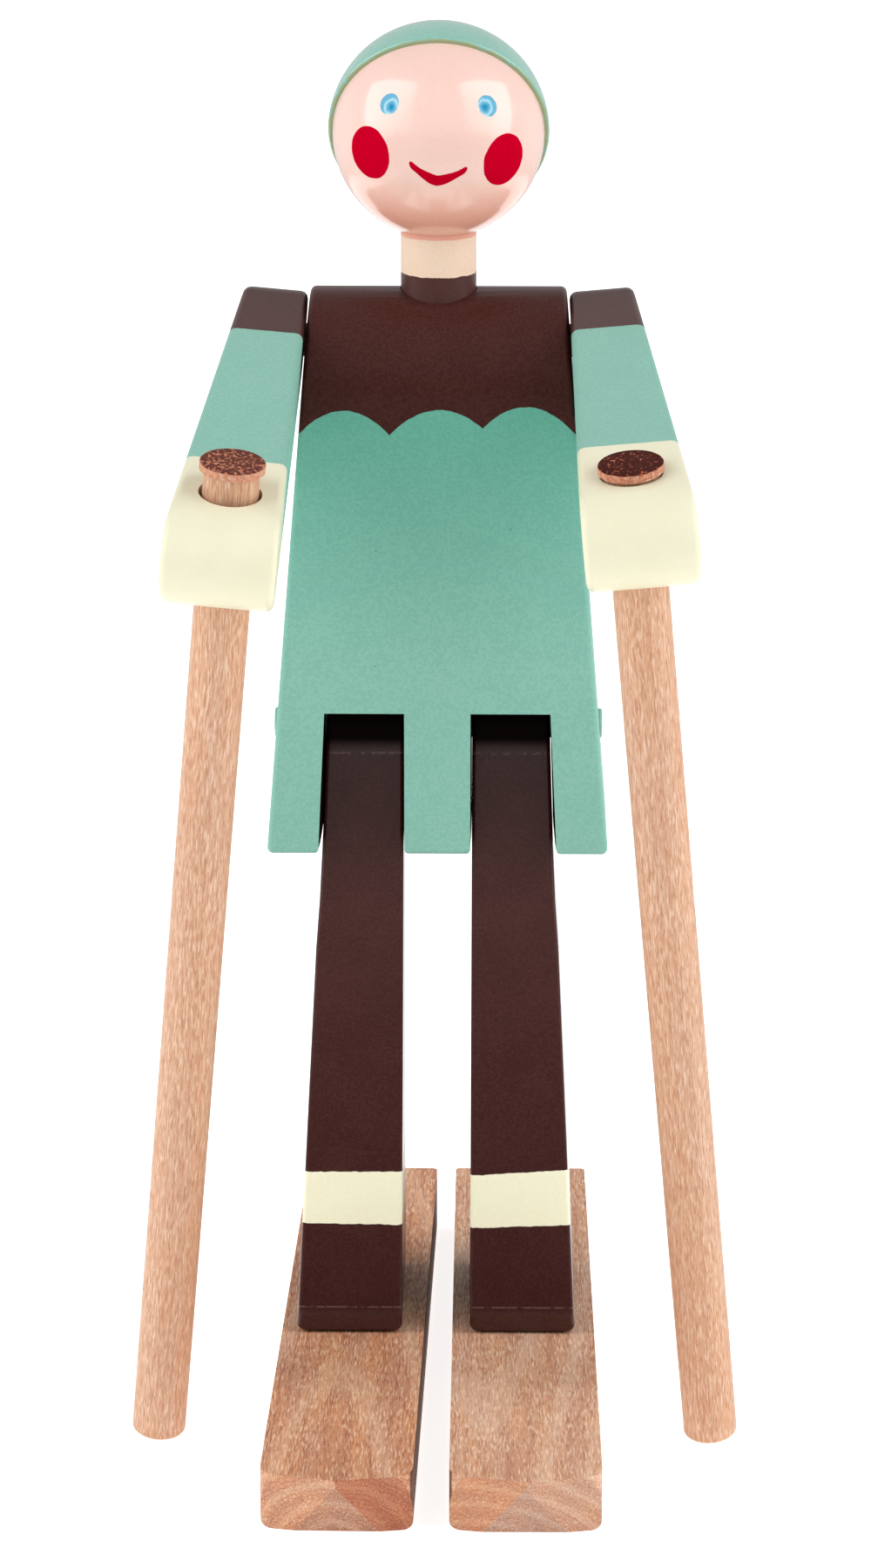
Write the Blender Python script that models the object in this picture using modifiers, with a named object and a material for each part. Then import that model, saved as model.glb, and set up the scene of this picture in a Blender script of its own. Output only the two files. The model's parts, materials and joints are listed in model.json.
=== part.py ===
# Wooden skier figure: torso, turning head, swinging arms and legs, skis and loose poles.
# Metres, +Z up. The figure faces -Y and stands on the underside of its skis at Z = 0.

import math

import bmesh
import bpy
from mathutils import Euler, Matrix, Vector

# Fits
FIXED_GAP = 0.0003          # between pieces that touch or are glued
ARM_GAP = 0.0004            # between torso side and arm, at the shoulder
LEG_INNER_GAP = 0.0003      # between leg and the skirt's middle tongue
LEG_OUTER_GAP = 0.00055     # between leg and the skirt's outer tongue
LEG_TOP_GAP = 0.0006        # between the round leg top and the slot's ceiling
POLE_HOLE_GAP = 0.0005      # all round, so that a pole drops through the hand

# Skis
SKI_LENGTH = 0.1296
SKI_WIDTH = 0.0221          # at the front
SKI_TAIL_WIDTH = 0.0212
SKI_THICKNESS = 0.01015
SKI_FROM_MIDDLE = {-1: 0.001725, 1: 0.002475}  # inner edge at half length, left and right
SKI_TOE_OUT = {-1: math.radians(1.0), 1: math.radians(0.4)}
SKI_FRONT_CORNER = 0.0036   # corner radii seen from above
SKI_TAIL_CORNER = 0.0008
SKI_EDGE = 0.00035
SKI_UNDER_CORNER = 0.0016   # lower corners seen from the front
NOSE_SWEEP = math.radians(11.3)          # the tip's shallow point, seen from above
NOSE_SIDE_UNDERCUT = math.radians(21.4)  # lean of the two side facets
NOSE_KEEL_UNDERCUT = math.radians(28.5)  # lean of the middle facet
NOSE_KEEL_DROP = 0.00135                 # from the top face down to the middle facet's point

# Hip and torso
HIP_Y = 0.0196
HIP_Z = 0.09935
HIP_PIN_RADIUS = 0.00225
HIP_PIN_PROUD = 0.0005
TORSO_BOTTOM_Z = 0.08265
TORSO_TOP_Z = 0.1666
TORSO_TOP_HALF_WIDTH = 0.01915
TORSO_THICKNESS = 0.0270
SIDE_SLOPE = math.radians(4.6)           # lean of the torso's sides
TORSO_EDGE = 0.0008
TONGUE_HALF_WIDTH = 0.0050               # middle tongue between the slots
TONGUE_CORNER = 0.0009

# Legs
LEG_TOP_RADIUS = 0.0045
LEG_TOP_WIDTH = 0.01145                  # across, at the hip pin
LEG_FLARE = math.radians(2.75)           # lean of the outer face
TOE_FROM_HIP = 0.0279
HEEL_FROM_HIP = 0.0022
TOE_HEIGHT = 0.0041
TOE_CORNER = 0.0012                      # lower corners seen from the front
LEG_EDGE = 0.0006
FOOT_DOWEL_RADIUS = 0.0020
FOOT_DOWEL_IN_SKI = 0.0060
FOOT_DOWEL_IN_FOOT = 0.0080
FOOT_DOWEL_SETBACKS = {"front": 0.0100, "rear": 0.0230}  # behind the toe

# Arms
SHOULDER_BELOW_TOP = 0.0076
ARM_HEIGHT = 0.0145
ARM_SHOULDER_WIDTH = 0.0099
ARM_TAPER = math.radians(4.5)            # the outer face widens toward the hand
ARM_TOE_IN = math.radians(0.25)          # hands a little closer together than shoulders
ARM_CANT = math.radians(0.5)             # lean beyond the torso's sides, to clear the hip pin's ends
ARM_EDGE = 0.0011
SHOULDER_TO_POLE = 0.0683
POLE_TO_NOSE_CENTRE = 0.0052             # from the pole hole to the round end's centre
POLE_FROM_INNER_FACE = 0.00745
ARM_DROP = {-1: math.radians(12.8), 1: math.radians(10.3)}  # below level, left and right
SHOULDER_PEG_RADIUS = 0.0025
SHOULDER_PEG_IN_ARM = 0.0060
SHOULDER_PEG_IN_TORSO = 0.0100

# Poles
POLE_RADIUS = 0.0040
POLE_LEAN = math.radians(9.4)            # top forward of the tip
POLE_SPLAY = math.radians(5.15)          # tip outside the hand
POLE_HEAD_OVERHANG = 0.00065             # wider than the shaft, and than its hole
POLE_HEAD_HEIGHT = 0.0013
POLE_HEAD_EDGE = 0.0003
POLE_HEAD_FILLET = 0.0006                # hollow under the head
POLE_TIP_EDGE = 0.0007
POLE_ABOVE_FLOOR = 0.0001

# Neck and head
NECK_RADIUS = 0.0055
NECK_IN_TORSO = 0.0150
NECK_SHOWN = 0.0082                      # from the torso's top to the ball's lowest point
NECK_IN_HEAD = 0.0090
HEAD_RADIUS = 0.0158
CAP_STEP = 0.0007                        # the cap stands this far out from the face
CAP_TILT = math.radians(29.5)            # the cap's axis, above level toward the back
CAP_ROLL = math.radians(2.5)             # right side lower
CAP_RIM_FROM_CENTRE = 0.0008             # along the cap's axis
CAP_RIM_ROUND = 0.0004

# Facets
DOWEL_SIDES = 32
HEAD_SIDES = 56
ARC_STEP = math.radians(9)
HEAD_ARC_STEP = math.radians(7)
BEVEL_SEGMENTS = 3

# Values that follow from the sizes above
SIDES = {"left": -1, "right": 1}
SLOPE = math.tan(SIDE_SLOPE)
SHOULDER_Z = TORSO_TOP_Z - SHOULDER_BELOW_TOP
HEAD_Z = TORSO_TOP_Z + NECK_SHOWN + HEAD_RADIUS
SOLE_Z = SKI_THICKNESS + FIXED_GAP
POLE_HEAD_RADIUS = POLE_RADIUS + POLE_HEAD_OVERHANG
REACH = 0.2                              # longer than the figure is wide or deep
MARGIN = 0.004                           # how far a cutter runs past what it cuts


def torso_half_width(z):
    """Half the torso's width at a height, along its sloping sides."""
    return TORSO_TOP_HALF_WIDTH + (TORSO_TOP_Z - z) * SLOPE


def leg_outer_x(z):
    """Distance of a leg's outer face from the middle plane."""
    return TONGUE_HALF_WIDTH + LEG_INNER_GAP + LEG_TOP_WIDTH + (HIP_Z - z) * math.tan(LEG_FLARE)


# Tools

def start_scene():
    for obj in list(bpy.data.objects):
        bpy.data.objects.remove(obj, do_unlink=True)
    collections = []
    for name in ("wooden_skier_figure", "cutters"):
        collection = bpy.data.collections.new(name)
        bpy.context.scene.collection.children.link(collection)
        collections.append(collection)
    return collections


PARTS, CUTTERS = start_scene()


def finish(name, rgb, roughness):
    material = bpy.data.materials.new(name)
    material.use_nodes = True
    shader = material.node_tree.nodes["Principled BSDF"]
    shader.inputs["Base Color"].default_value = (*rgb, 1.0)
    shader.inputs["Roughness"].default_value = roughness
    shader.inputs["Metallic"].default_value = 0.0
    return material


def add_object(name, mesh, matrix, material=None):
    obj = bpy.data.objects.new(name, mesh)
    obj.matrix_world = matrix
    if material:
        mesh.materials.clear()
        mesh.materials.append(material)
        PARTS.objects.link(obj)
    else:
        CUTTERS.objects.link(obj)
        obj.hide_render = True
        obj.display_type = "WIRE"
    return obj


def arc(centre, radius, start, end, step=ARC_STEP):
    """Points on an arc, both ends included; angles in radians."""
    count = max(2, math.ceil(abs(end - start) / step))
    angles = [start + (end - start) * i / count for i in range(count + 1)]
    return [(centre[0] + radius * math.cos(a), centre[1] + radius * math.sin(a)) for a in angles]


def rounded(corners):
    """Outline of a polygon whose corners are (x, y, radius)."""
    outline = []
    for i, (x, y, radius) in enumerate(corners):
        corner = Vector((x, y))
        to_last = (Vector(corners[i - 1][:2]) - corner).normalized()
        to_next = (Vector(corners[(i + 1) % len(corners)][:2]) - corner).normalized()
        if radius == 0:
            outline.append((x, y))
            continue
        half_angle = to_last.angle(to_next) / 2
        centre = corner + (to_last + to_next).normalized() * radius / math.sin(half_angle)
        first = corner + to_last * radius / math.tan(half_angle) - centre
        last = corner + to_next * radius / math.tan(half_angle) - centre
        start = math.atan2(first.y, first.x)
        turn = math.remainder(math.atan2(last.y, last.x) - start, math.tau)
        outline += arc(centre, radius, start, start + turn)
    return outline


def plate_mesh(name, outline, thickness):
    """Closed mesh of a flat outline in XY, half its thickness to each side of the plane."""
    curve = bpy.data.curves.new(name, "CURVE")
    curve.dimensions = "2D"
    curve.fill_mode = "BOTH"
    curve.extrude = thickness / 2
    spline = curve.splines.new("POLY")
    spline.points.add(len(outline) - 1)
    for point, (x, y) in zip(spline.points, outline):
        point.co = (x, y, 0.0, 1.0)
    spline.use_cyclic_u = True
    drawn = bpy.data.objects.new(name, curve)
    PARTS.objects.link(drawn)
    bpy.context.view_layer.update()
    evaluated = drawn.evaluated_get(bpy.context.evaluated_depsgraph_get())
    mesh = bpy.data.meshes.new_from_object(evaluated)
    bpy.data.objects.remove(drawn)
    bpy.data.curves.remove(curve)
    form = bmesh.new()
    form.from_mesh(mesh)
    bmesh.ops.remove_doubles(form, verts=form.verts, dist=1e-6)
    bmesh.ops.recalc_face_normals(form, faces=form.faces)
    form.to_mesh(mesh)
    form.free()
    mesh.name = name
    return mesh


def rod_mesh(name, radius, low, high, sides=DOWEL_SIDES):
    """Closed cylinder on Z from one height to another."""
    form = bmesh.new()
    bmesh.ops.create_cone(
        form, cap_ends=True, segments=sides, radius1=radius, radius2=radius, depth=high - low,
        matrix=Matrix.Translation((0, 0, (low + high) / 2)))
    mesh = bpy.data.meshes.new(name)
    form.to_mesh(mesh)
    form.free()
    return mesh


def box_mesh(name, low, high):
    """Closed box between two corners."""
    form = bmesh.new()
    size = Vector(high) - Vector(low)
    middle = (Vector(high) + Vector(low)) / 2
    bmesh.ops.create_cube(
        form, size=1.0, matrix=Matrix.Translation(middle) @ Matrix.Diagonal((*size, 1.0)))
    mesh = bpy.data.meshes.new(name)
    form.to_mesh(mesh)
    form.free()
    return mesh


def turned(name, profile, sides, matrix, material):
    """Piece turned about Z from a profile of (radius, height) that runs from top to bottom."""
    mesh = bpy.data.meshes.new(name)
    edges = [(i, i + 1) for i in range(len(profile) - 1)]
    mesh.from_pydata([(r, 0.0, z) for r, z in profile], edges, [])
    obj = add_object(name, mesh, matrix, material)
    screw = obj.modifiers.new("turn", "SCREW")
    screw.axis = "Z"
    screw.angle = math.tau
    screw.steps = sides
    screw.render_steps = sides
    screw.use_merge_vertices = True
    screw.merge_threshold = 1e-6
    screw.use_smooth_shade = True
    return obj


def cut(obj, cutter, operation="DIFFERENCE"):
    modifier = obj.modifiers.new(cutter.name, "BOOLEAN")
    modifier.operation = operation
    modifier.solver = "EXACT"
    modifier.object = cutter
    return modifier


def soften(obj, width):
    bevel = obj.modifiers.new("soft_edges", "BEVEL")
    bevel.width = width
    bevel.segments = BEVEL_SEGMENTS
    bevel.limit_method = "ANGLE"
    bevel.angle_limit = math.radians(35)
    bevel.miter_outer = "MITER_ARC"


def carry(parent, *children):
    """Parents pieces to what carries them, where they stand."""
    bpy.context.view_layer.update()
    for child in children:
        child.parent = parent
        child.matrix_parent_inverse = parent.matrix_world.inverted()


# Turns a plate drawn in XY upright: drawn x, y become world X, Z or world Y, Z
FRONT_VIEW = Matrix.Rotation(math.pi / 2, 4, "X")
SIDE_VIEW = Matrix.Rotation(math.pi / 2, 4, "Z") @ Matrix.Rotation(math.pi / 2, 4, "X")
ALONG_X = Matrix.Rotation(math.pi / 2, 4, "Y")


def arm_matrix(side):
    """Frame of an arm: origin on the torso's side at the shoulder, -Y along the arm."""
    shoulder = Vector((side * torso_half_width(SHOULDER_Z), HIP_Y, SHOULDER_Z))
    lean = SIDE_SLOPE + ARM_CANT
    turn = Euler((ARM_DROP[side], -side * lean, -side * ARM_TOE_IN)).to_matrix().to_4x4()
    return Matrix.Translation(shoulder) @ turn


def ski_matrix(side):
    turn = Matrix.Rotation(side * SKI_TOE_OUT[side], 4, "Z")
    centre = SKI_FROM_MIDDLE[side] + (SKI_WIDTH + SKI_TAIL_WIDTH) / 4
    return Matrix.Translation((side * centre, 0.0, 0.0)) @ turn


# Torso

def slot_outline(side):
    """Leg slot seen from the front, with the tongues' lower corners rounded."""
    inner = TONGUE_HALF_WIDTH
    ceiling = HIP_Z + LEG_TOP_RADIUS + LEG_TOP_GAP
    corner_z = TORSO_BOTTOM_Z + TONGUE_CORNER
    outer_top = leg_outer_x(ceiling) + LEG_OUTER_GAP
    outer_low = leg_outer_x(corner_z) + LEG_OUTER_GAP
    below = TORSO_BOTTOM_Z - MARGIN
    right_angle = math.pi / 2
    outline = [(inner, ceiling)]
    outline += arc((inner - TONGUE_CORNER, corner_z), TONGUE_CORNER, 0.0, -right_angle)
    outline += [(inner - TONGUE_CORNER, below), (outer_low + TONGUE_CORNER, below)]
    outline += arc((outer_low + TONGUE_CORNER, corner_z), TONGUE_CORNER, -right_angle, -math.pi)
    outline += [(outer_top, ceiling)]
    return [(side * x, z) for x, z in outline]


def make_torso():
    half = TORSO_THICKNESS / 2
    round_z = TORSO_TOP_Z - half
    profile = arc((0.0, round_z), half, 0.0, math.pi)
    profile += [(-half, TORSO_BOTTOM_Z), (half, TORSO_BOTTOM_Z)]
    middle = Matrix.Translation((0.0, HIP_Y, 0.0))
    torso = add_object(
        "torso", plate_mesh("torso", profile, REACH), middle @ SIDE_VIEW,
        finish("torso_paint", (0.25, 0.53, 0.43), 0.45))

    low = torso_half_width(TORSO_BOTTOM_Z)
    high_z = TORSO_TOP_Z + MARGIN
    high = torso_half_width(high_z)
    front = rounded([
        (-low, TORSO_BOTTOM_Z, TONGUE_CORNER), (low, TORSO_BOTTOM_Z, TONGUE_CORNER),
        (high, high_z, 0.0), (-high, high_z, 0.0)])
    cut(torso, add_object("torso_front", plate_mesh("torso_front", front, REACH), middle @ FRONT_VIEW),
        "INTERSECT")
    soften(torso, TORSO_EDGE)

    for name, side in SIDES.items():
        slot = plate_mesh(name + "_slot", slot_outline(side), TORSO_THICKNESS + 2 * MARGIN)
        cut(torso, add_object(name + "_slot", slot, middle @ FRONT_VIEW))
        bore = rod_mesh(
            name + "_shoulder_bore", SHOULDER_PEG_RADIUS + FIXED_GAP,
            -SHOULDER_PEG_IN_TORSO - FIXED_GAP, MARGIN)
        outward = ALONG_X if side > 0 else ALONG_X.inverted()
        cut(torso, add_object(name + "_shoulder_bore", bore, arm_matrix(side) @ outward))

    neck_bore = rod_mesh(
        "neck_bore", NECK_RADIUS + FIXED_GAP,
        TORSO_TOP_Z - NECK_IN_TORSO - FIXED_GAP, TORSO_TOP_Z + MARGIN, HEAD_SIDES)
    cut(torso, add_object("neck_bore", neck_bore, middle))
    cut(torso, HIP_BORE)
    return torso


def make_hip_pin():
    half = torso_half_width(HIP_Z) + HIP_PIN_PROUD
    return add_object(
        "hip_pin", rod_mesh("hip_pin", HIP_PIN_RADIUS, -half, half), HIP_MATRIX @ ALONG_X,
        finish("hip_pin_paint", (0.25, 0.53, 0.43), 0.5))


# Head and neck

def make_head():
    cap_radius = HEAD_RADIUS + CAP_STEP
    rim = CAP_RIM_FROM_CENTRE
    cap_end = math.asin((rim + CAP_RIM_ROUND) / cap_radius)
    face_start = math.asin(rim / HEAD_RADIUS)
    quarter = math.pi / 2
    profile = arc((0.0, 0.0), cap_radius, quarter, cap_end, HEAD_ARC_STEP)
    round_centre = (cap_radius * math.cos(cap_end) - CAP_RIM_ROUND, rim + CAP_RIM_ROUND)
    profile += arc(round_centre, CAP_RIM_ROUND, 0.0, -quarter, math.radians(30))[1:]
    profile += arc((0.0, 0.0), HEAD_RADIUS, face_start, -quarter, HEAD_ARC_STEP)
    profile[0] = (0.0, cap_radius)
    profile[-1] = (0.0, -HEAD_RADIUS)

    tilt = Matrix.Rotation(CAP_ROLL, 4, "Y") @ Matrix.Rotation(-(quarter - CAP_TILT), 4, "X")
    centre = Matrix.Translation((0.0, HIP_Y, HEAD_Z))
    head = turned(
        "head", profile, HEAD_SIDES, centre @ tilt, finish("face_paint", (0.90, 0.56, 0.46), 0.3))
    bore_top = NECK_IN_HEAD + FIXED_GAP - HEAD_RADIUS
    bore = rod_mesh(
        "head_bore", NECK_RADIUS + FIXED_GAP, -HEAD_RADIUS - MARGIN, bore_top, HEAD_SIDES)
    cut(head, add_object("head_bore", bore, centre))
    return head


def make_neck():
    low = TORSO_TOP_Z - NECK_IN_TORSO
    high = HEAD_Z - HEAD_RADIUS + NECK_IN_HEAD
    return add_object(
        "neck_dowel", rod_mesh("neck_dowel", NECK_RADIUS, low, high, HEAD_SIDES),
        Matrix.Translation((0.0, HIP_Y, 0.0)), finish("neck_paint", (0.88, 0.70, 0.53), 0.4))


# Legs, skis and the dowels between them

def leg_profile():
    """Leg from the side, seen from +X with the hip pin at the origin."""
    sole = SOLE_Z - HIP_Z
    toe = Vector((-TOE_FROM_HIP, sole + TOE_HEIGHT))
    heel = Vector((HEEL_FROM_HIP, sole))
    front = math.atan2(toe.y, toe.x) - math.acos(LEG_TOP_RADIUS / toe.length)
    back = math.atan2(heel.y, heel.x) + math.acos(LEG_TOP_RADIUS / heel.length)
    outline = arc((0.0, 0.0), LEG_TOP_RADIUS, back, front + math.tau)
    return outline + [tuple(toe), (toe.x, sole), tuple(heel)]


def make_leg(name, side):
    top_z = HIP_Z + LEG_TOP_RADIUS + MARGIN
    inner = TONGUE_HALF_WIDTH + LEG_INNER_GAP
    front = rounded([
        (side * inner, top_z, 0.0), (side * inner, SOLE_Z, TOE_CORNER),
        (side * leg_outer_x(SOLE_Z), SOLE_Z, TOE_CORNER), (side * leg_outer_x(top_z), top_z, 0.0)])
    leg = add_object(
        name, plate_mesh(name, leg_profile(), REACH), HIP_MATRIX @ SIDE_VIEW,
        finish(name + "_paint", (0.07, 0.022, 0.019), 0.3))
    trim = add_object(name + "_front", plate_mesh(name + "_front", front, REACH), FRONT_VIEW)
    cut(leg, trim, "INTERSECT")
    soften(leg, LEG_EDGE)
    cut(leg, HIP_BORE)
    return leg


def ski_outline():
    """Ski from above, tip toward -y."""
    front = -SKI_LENGTH / 2
    tail = SKI_LENGTH / 2
    wide = SKI_WIDTH / 2
    narrow = SKI_TAIL_WIDTH / 2
    shoulder = front + wide * math.tan(NOSE_SWEEP)
    return rounded([
        (wide, shoulder, SKI_FRONT_CORNER), (narrow, tail, SKI_TAIL_CORNER),
        (-narrow, tail, SKI_TAIL_CORNER), (-wide, shoulder, SKI_FRONT_CORNER), (0.0, front, 0.0)])


def nose_cutters(name, matrix):
    """Three boxes whose back faces are the facets under the tip."""
    tip = Vector((0.0, -SKI_LENGTH / 2, SKI_THICKNESS))
    keel = tip + Vector((0.0, NOSE_KEEL_DROP * math.tan(NOSE_SIDE_UNDERCUT), -NOSE_KEEL_DROP))
    planes = [
        ("_nose_left", tip, -NOSE_SWEEP, NOSE_SIDE_UNDERCUT),
        ("_nose_right", tip, NOSE_SWEEP, NOSE_SIDE_UNDERCUT),
        ("_nose_keel", keel, 0.0, NOSE_KEEL_UNDERCUT)]
    half = SKI_WIDTH
    for suffix, point, sweep, undercut in planes:
        block = box_mesh(name + suffix, (-half, -half, -half), (half, 0.0, half))
        turn = Matrix.Rotation(sweep, 4, "Z") @ Matrix.Rotation(undercut, 4, "X")
        yield add_object(name + suffix, block, matrix @ Matrix.Translation(point) @ turn)


def make_ski(name, side):
    matrix = ski_matrix(side)
    raised = matrix @ Matrix.Translation((0.0, 0.0, SKI_THICKNESS / 2))
    ski = add_object(
        name, plate_mesh(name, ski_outline(), SKI_THICKNESS), raised,
        finish(name + "_wood", (0.43, 0.24, 0.15), 0.6))
    wide = SKI_WIDTH / 2
    section = rounded([
        (-wide, 0.0, SKI_UNDER_CORNER), (wide, 0.0, SKI_UNDER_CORNER),
        (wide, SKI_THICKNESS, 0.0), (-wide, SKI_THICKNESS, 0.0)])
    trim = add_object(
        name + "_section", plate_mesh(name + "_section", section, REACH), matrix @ FRONT_VIEW)
    cut(ski, trim, "INTERSECT")
    for cutter in nose_cutters(name, matrix):
        cut(ski, cutter)
    soften(ski, SKI_EDGE)
    return ski


def foot_dowel_place(side, setback):
    """Where a foot dowel's axis meets the ski's top face."""
    middle = (TONGUE_HALF_WIDTH + LEG_INNER_GAP + leg_outer_x(SOLE_Z)) / 2
    return Matrix.Translation((side * middle, HIP_Y - TOE_FROM_HIP + setback, SKI_THICKNESS))


def make_foot_dowels(name, side, leg, ski):
    for place, setback in FOOT_DOWEL_SETBACKS.items():
        label = name + "_foot_" + place + "_dowel"
        matrix = foot_dowel_place(side, setback)
        bore = rod_mesh(
            label + "_bore", FOOT_DOWEL_RADIUS + FIXED_GAP,
            -FOOT_DOWEL_IN_SKI - FIXED_GAP, FOOT_DOWEL_IN_FOOT + FIXED_GAP)
        cutter = add_object(label + "_bore", bore, matrix)
        cut(leg, cutter)
        cut(ski, cutter)
        yield add_object(
            label, rod_mesh(label, FOOT_DOWEL_RADIUS, -FOOT_DOWEL_IN_SKI, FOOT_DOWEL_IN_FOOT), matrix,
            finish(label + "_wood", (0.66, 0.50, 0.33), 0.6))


# Arms, their pegs and the poles

def make_arm(name, side):
    matrix = arm_matrix(side)
    radius = ARM_HEIGHT / 2
    nose = SHOULDER_TO_POLE + POLE_TO_NOSE_CENTRE
    quarter = math.pi / 2
    profile = arc((0.0, 0.0), radius, -quarter, quarter)
    profile += arc((-nose, 0.0), radius, quarter, 3 * quarter)
    arm = add_object(
        name, plate_mesh(name, profile, REACH), matrix @ SIDE_VIEW,
        finish(name + "_paint", (0.28, 0.55, 0.45), 0.45))

    back = radius + MARGIN
    front = -nose - radius - MARGIN
    inner = side * ARM_GAP
    outer_back = side * (ARM_GAP + ARM_SHOULDER_WIDTH - back * math.tan(ARM_TAPER))
    outer_front = side * (ARM_GAP + ARM_SHOULDER_WIDTH - front * math.tan(ARM_TAPER))
    plan = [(inner, back), (inner, front), (outer_front, front), (outer_back, back)]
    cut(arm, add_object(name + "_plan", plate_mesh(name + "_plan", plan, REACH), matrix), "INTERSECT")
    soften(arm, ARM_EDGE)

    pole_hole = rod_mesh(
        name + "_pole_hole", POLE_RADIUS + POLE_HOLE_GAP, -ARM_HEIGHT, ARM_HEIGHT)
    cut(arm, add_object(name + "_pole_hole", pole_hole, matrix @ pole_hole_place(side)))
    peg_bore = rod_mesh(
        name + "_peg_bore", SHOULDER_PEG_RADIUS + FIXED_GAP, -MARGIN,
        ARM_GAP + SHOULDER_PEG_IN_ARM + FIXED_GAP)
    outward = ALONG_X if side > 0 else ALONG_X.inverted()
    cut(arm, add_object(name + "_peg_bore", peg_bore, matrix @ outward))
    return arm


def pole_hole_place(side):
    """Middle of the pole's hole, in the arm's frame."""
    return Matrix.Translation((side * (ARM_GAP + POLE_FROM_INNER_FACE), -SHOULDER_TO_POLE, 0.0))


def make_shoulder_peg(name, side):
    outward = ALONG_X if side > 0 else ALONG_X.inverted()
    peg = rod_mesh(
        name, SHOULDER_PEG_RADIUS, -SHOULDER_PEG_IN_TORSO, ARM_GAP + SHOULDER_PEG_IN_ARM)
    return add_object(
        name, peg, arm_matrix(side) @ outward, finish(name + "_wood", (0.66, 0.50, 0.33), 0.6))


def pole_turn(side):
    return Euler((POLE_LEAN, -side * POLE_SPLAY, 0.0)).to_matrix().to_4x4()


def pole_tip(side):
    """Middle of a pole's lower end, for a pole that runs through the middle of its hole."""
    along = pole_turn(side).col[2].to_3d()
    hole = (arm_matrix(side) @ pole_hole_place(side)).translation
    lean = math.acos(along.z)
    tip_flat = POLE_RADIUS - POLE_TIP_EDGE
    tip_z = POLE_ABOVE_FLOOR + tip_flat * math.sin(lean) + POLE_TIP_EDGE * (1 - math.cos(lean))
    return hole - along * (hole.z - tip_z) / along.z


def pole_length():
    """Both poles are as long as the higher hand needs for the head to rest on it."""
    lengths = []
    for side in SIDES.values():
        hole = arm_matrix(side) @ pole_hole_place(side)
        tilt = hole.col[2].to_3d().angle(pole_turn(side).col[2].to_3d())
        hand_top = ARM_HEIGHT / 2 / math.cos(tilt) + POLE_HEAD_RADIUS * math.tan(tilt)
        lengths.append((hole.translation - pole_tip(side)).length + hand_top)
    return max(lengths) + FIXED_GAP + POLE_HEAD_HEIGHT


def make_pole(name, side):
    quarter = math.pi / 2
    length = pole_length()
    head_low = length - POLE_HEAD_HEIGHT
    profile = [(0.0, length)]
    profile += arc(
        (POLE_HEAD_RADIUS - POLE_HEAD_EDGE, length - POLE_HEAD_EDGE), POLE_HEAD_EDGE,
        quarter, 0.0, math.radians(30))
    profile += [(POLE_HEAD_RADIUS, head_low)]
    profile += arc(
        (POLE_RADIUS + POLE_HEAD_FILLET, head_low - POLE_HEAD_FILLET), POLE_HEAD_FILLET,
        quarter, 2 * quarter, math.radians(30))
    profile += arc(
        (POLE_RADIUS - POLE_TIP_EDGE, POLE_TIP_EDGE), POLE_TIP_EDGE, 0.0, -quarter, math.radians(18))
    profile += [(0.0, 0.0)]
    return turned(
        name, profile, DOWEL_SIDES, Matrix.Translation(pole_tip(side)) @ pole_turn(side),
        finish(name + "_wood", (0.72, 0.42, 0.27), 0.6))


# Assembly

HIP_MATRIX = Matrix.Translation((0.0, HIP_Y, HIP_Z))
HIP_BORE = add_object(
    "hip_bore", rod_mesh("hip_bore", HIP_PIN_RADIUS + FIXED_GAP, -REACH, REACH), HIP_MATRIX @ ALONG_X)

torso = make_torso()
carry(torso, make_hip_pin(), make_neck())
make_head()
for label, side in SIDES.items():
    leg = make_leg(label + "_leg", side)
    ski = make_ski(label + "_ski", side)
    carry(leg, ski, *make_foot_dowels(label, side, leg, ski))
    arm = make_arm(label + "_arm", side)
    carry(arm, make_shoulder_peg(label + "_shoulder_peg", side))
    make_pole(label + "_pole", side)
bpy.context.view_layer.update()
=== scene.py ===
import json
import math
from functools import partial
import bmesh
import bpy
from mathutils import Euler, Matrix, Vector
from mathutils.bvhtree import BVHTree


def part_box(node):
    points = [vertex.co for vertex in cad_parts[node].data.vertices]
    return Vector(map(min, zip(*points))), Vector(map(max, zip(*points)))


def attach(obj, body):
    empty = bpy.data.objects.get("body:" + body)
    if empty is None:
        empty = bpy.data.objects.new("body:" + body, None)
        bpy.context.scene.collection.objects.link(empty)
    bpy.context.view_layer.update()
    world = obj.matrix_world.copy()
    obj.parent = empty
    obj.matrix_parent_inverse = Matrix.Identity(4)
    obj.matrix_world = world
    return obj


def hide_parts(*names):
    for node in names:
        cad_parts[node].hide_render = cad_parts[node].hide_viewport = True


# Looks of a wooden skier figure: painted beech and bare hardwood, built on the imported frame
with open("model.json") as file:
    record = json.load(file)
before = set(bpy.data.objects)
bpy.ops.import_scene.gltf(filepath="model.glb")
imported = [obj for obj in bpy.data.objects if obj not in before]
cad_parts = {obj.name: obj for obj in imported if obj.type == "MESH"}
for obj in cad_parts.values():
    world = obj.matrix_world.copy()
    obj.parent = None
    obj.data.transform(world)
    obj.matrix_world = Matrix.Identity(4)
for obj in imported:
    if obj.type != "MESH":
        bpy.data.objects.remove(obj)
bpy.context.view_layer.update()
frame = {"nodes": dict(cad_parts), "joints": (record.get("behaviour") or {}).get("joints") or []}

mm = 0.001
sides = {"left": -1, "right": 1}
joints = {joint["name"]: joint for joint in frame["joints"]}


# Node trees and colours

def colour(code):
    # sRGB hex to the linear values that shaders take
    channels = [int(code[i:i + 2], 16) / 255 for i in (1, 3, 5)]
    return [c / 12.92 if c <= 0.04045 else ((c + 0.055) / 1.055) ** 2.4 for c in channels] + [1.0]


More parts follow.
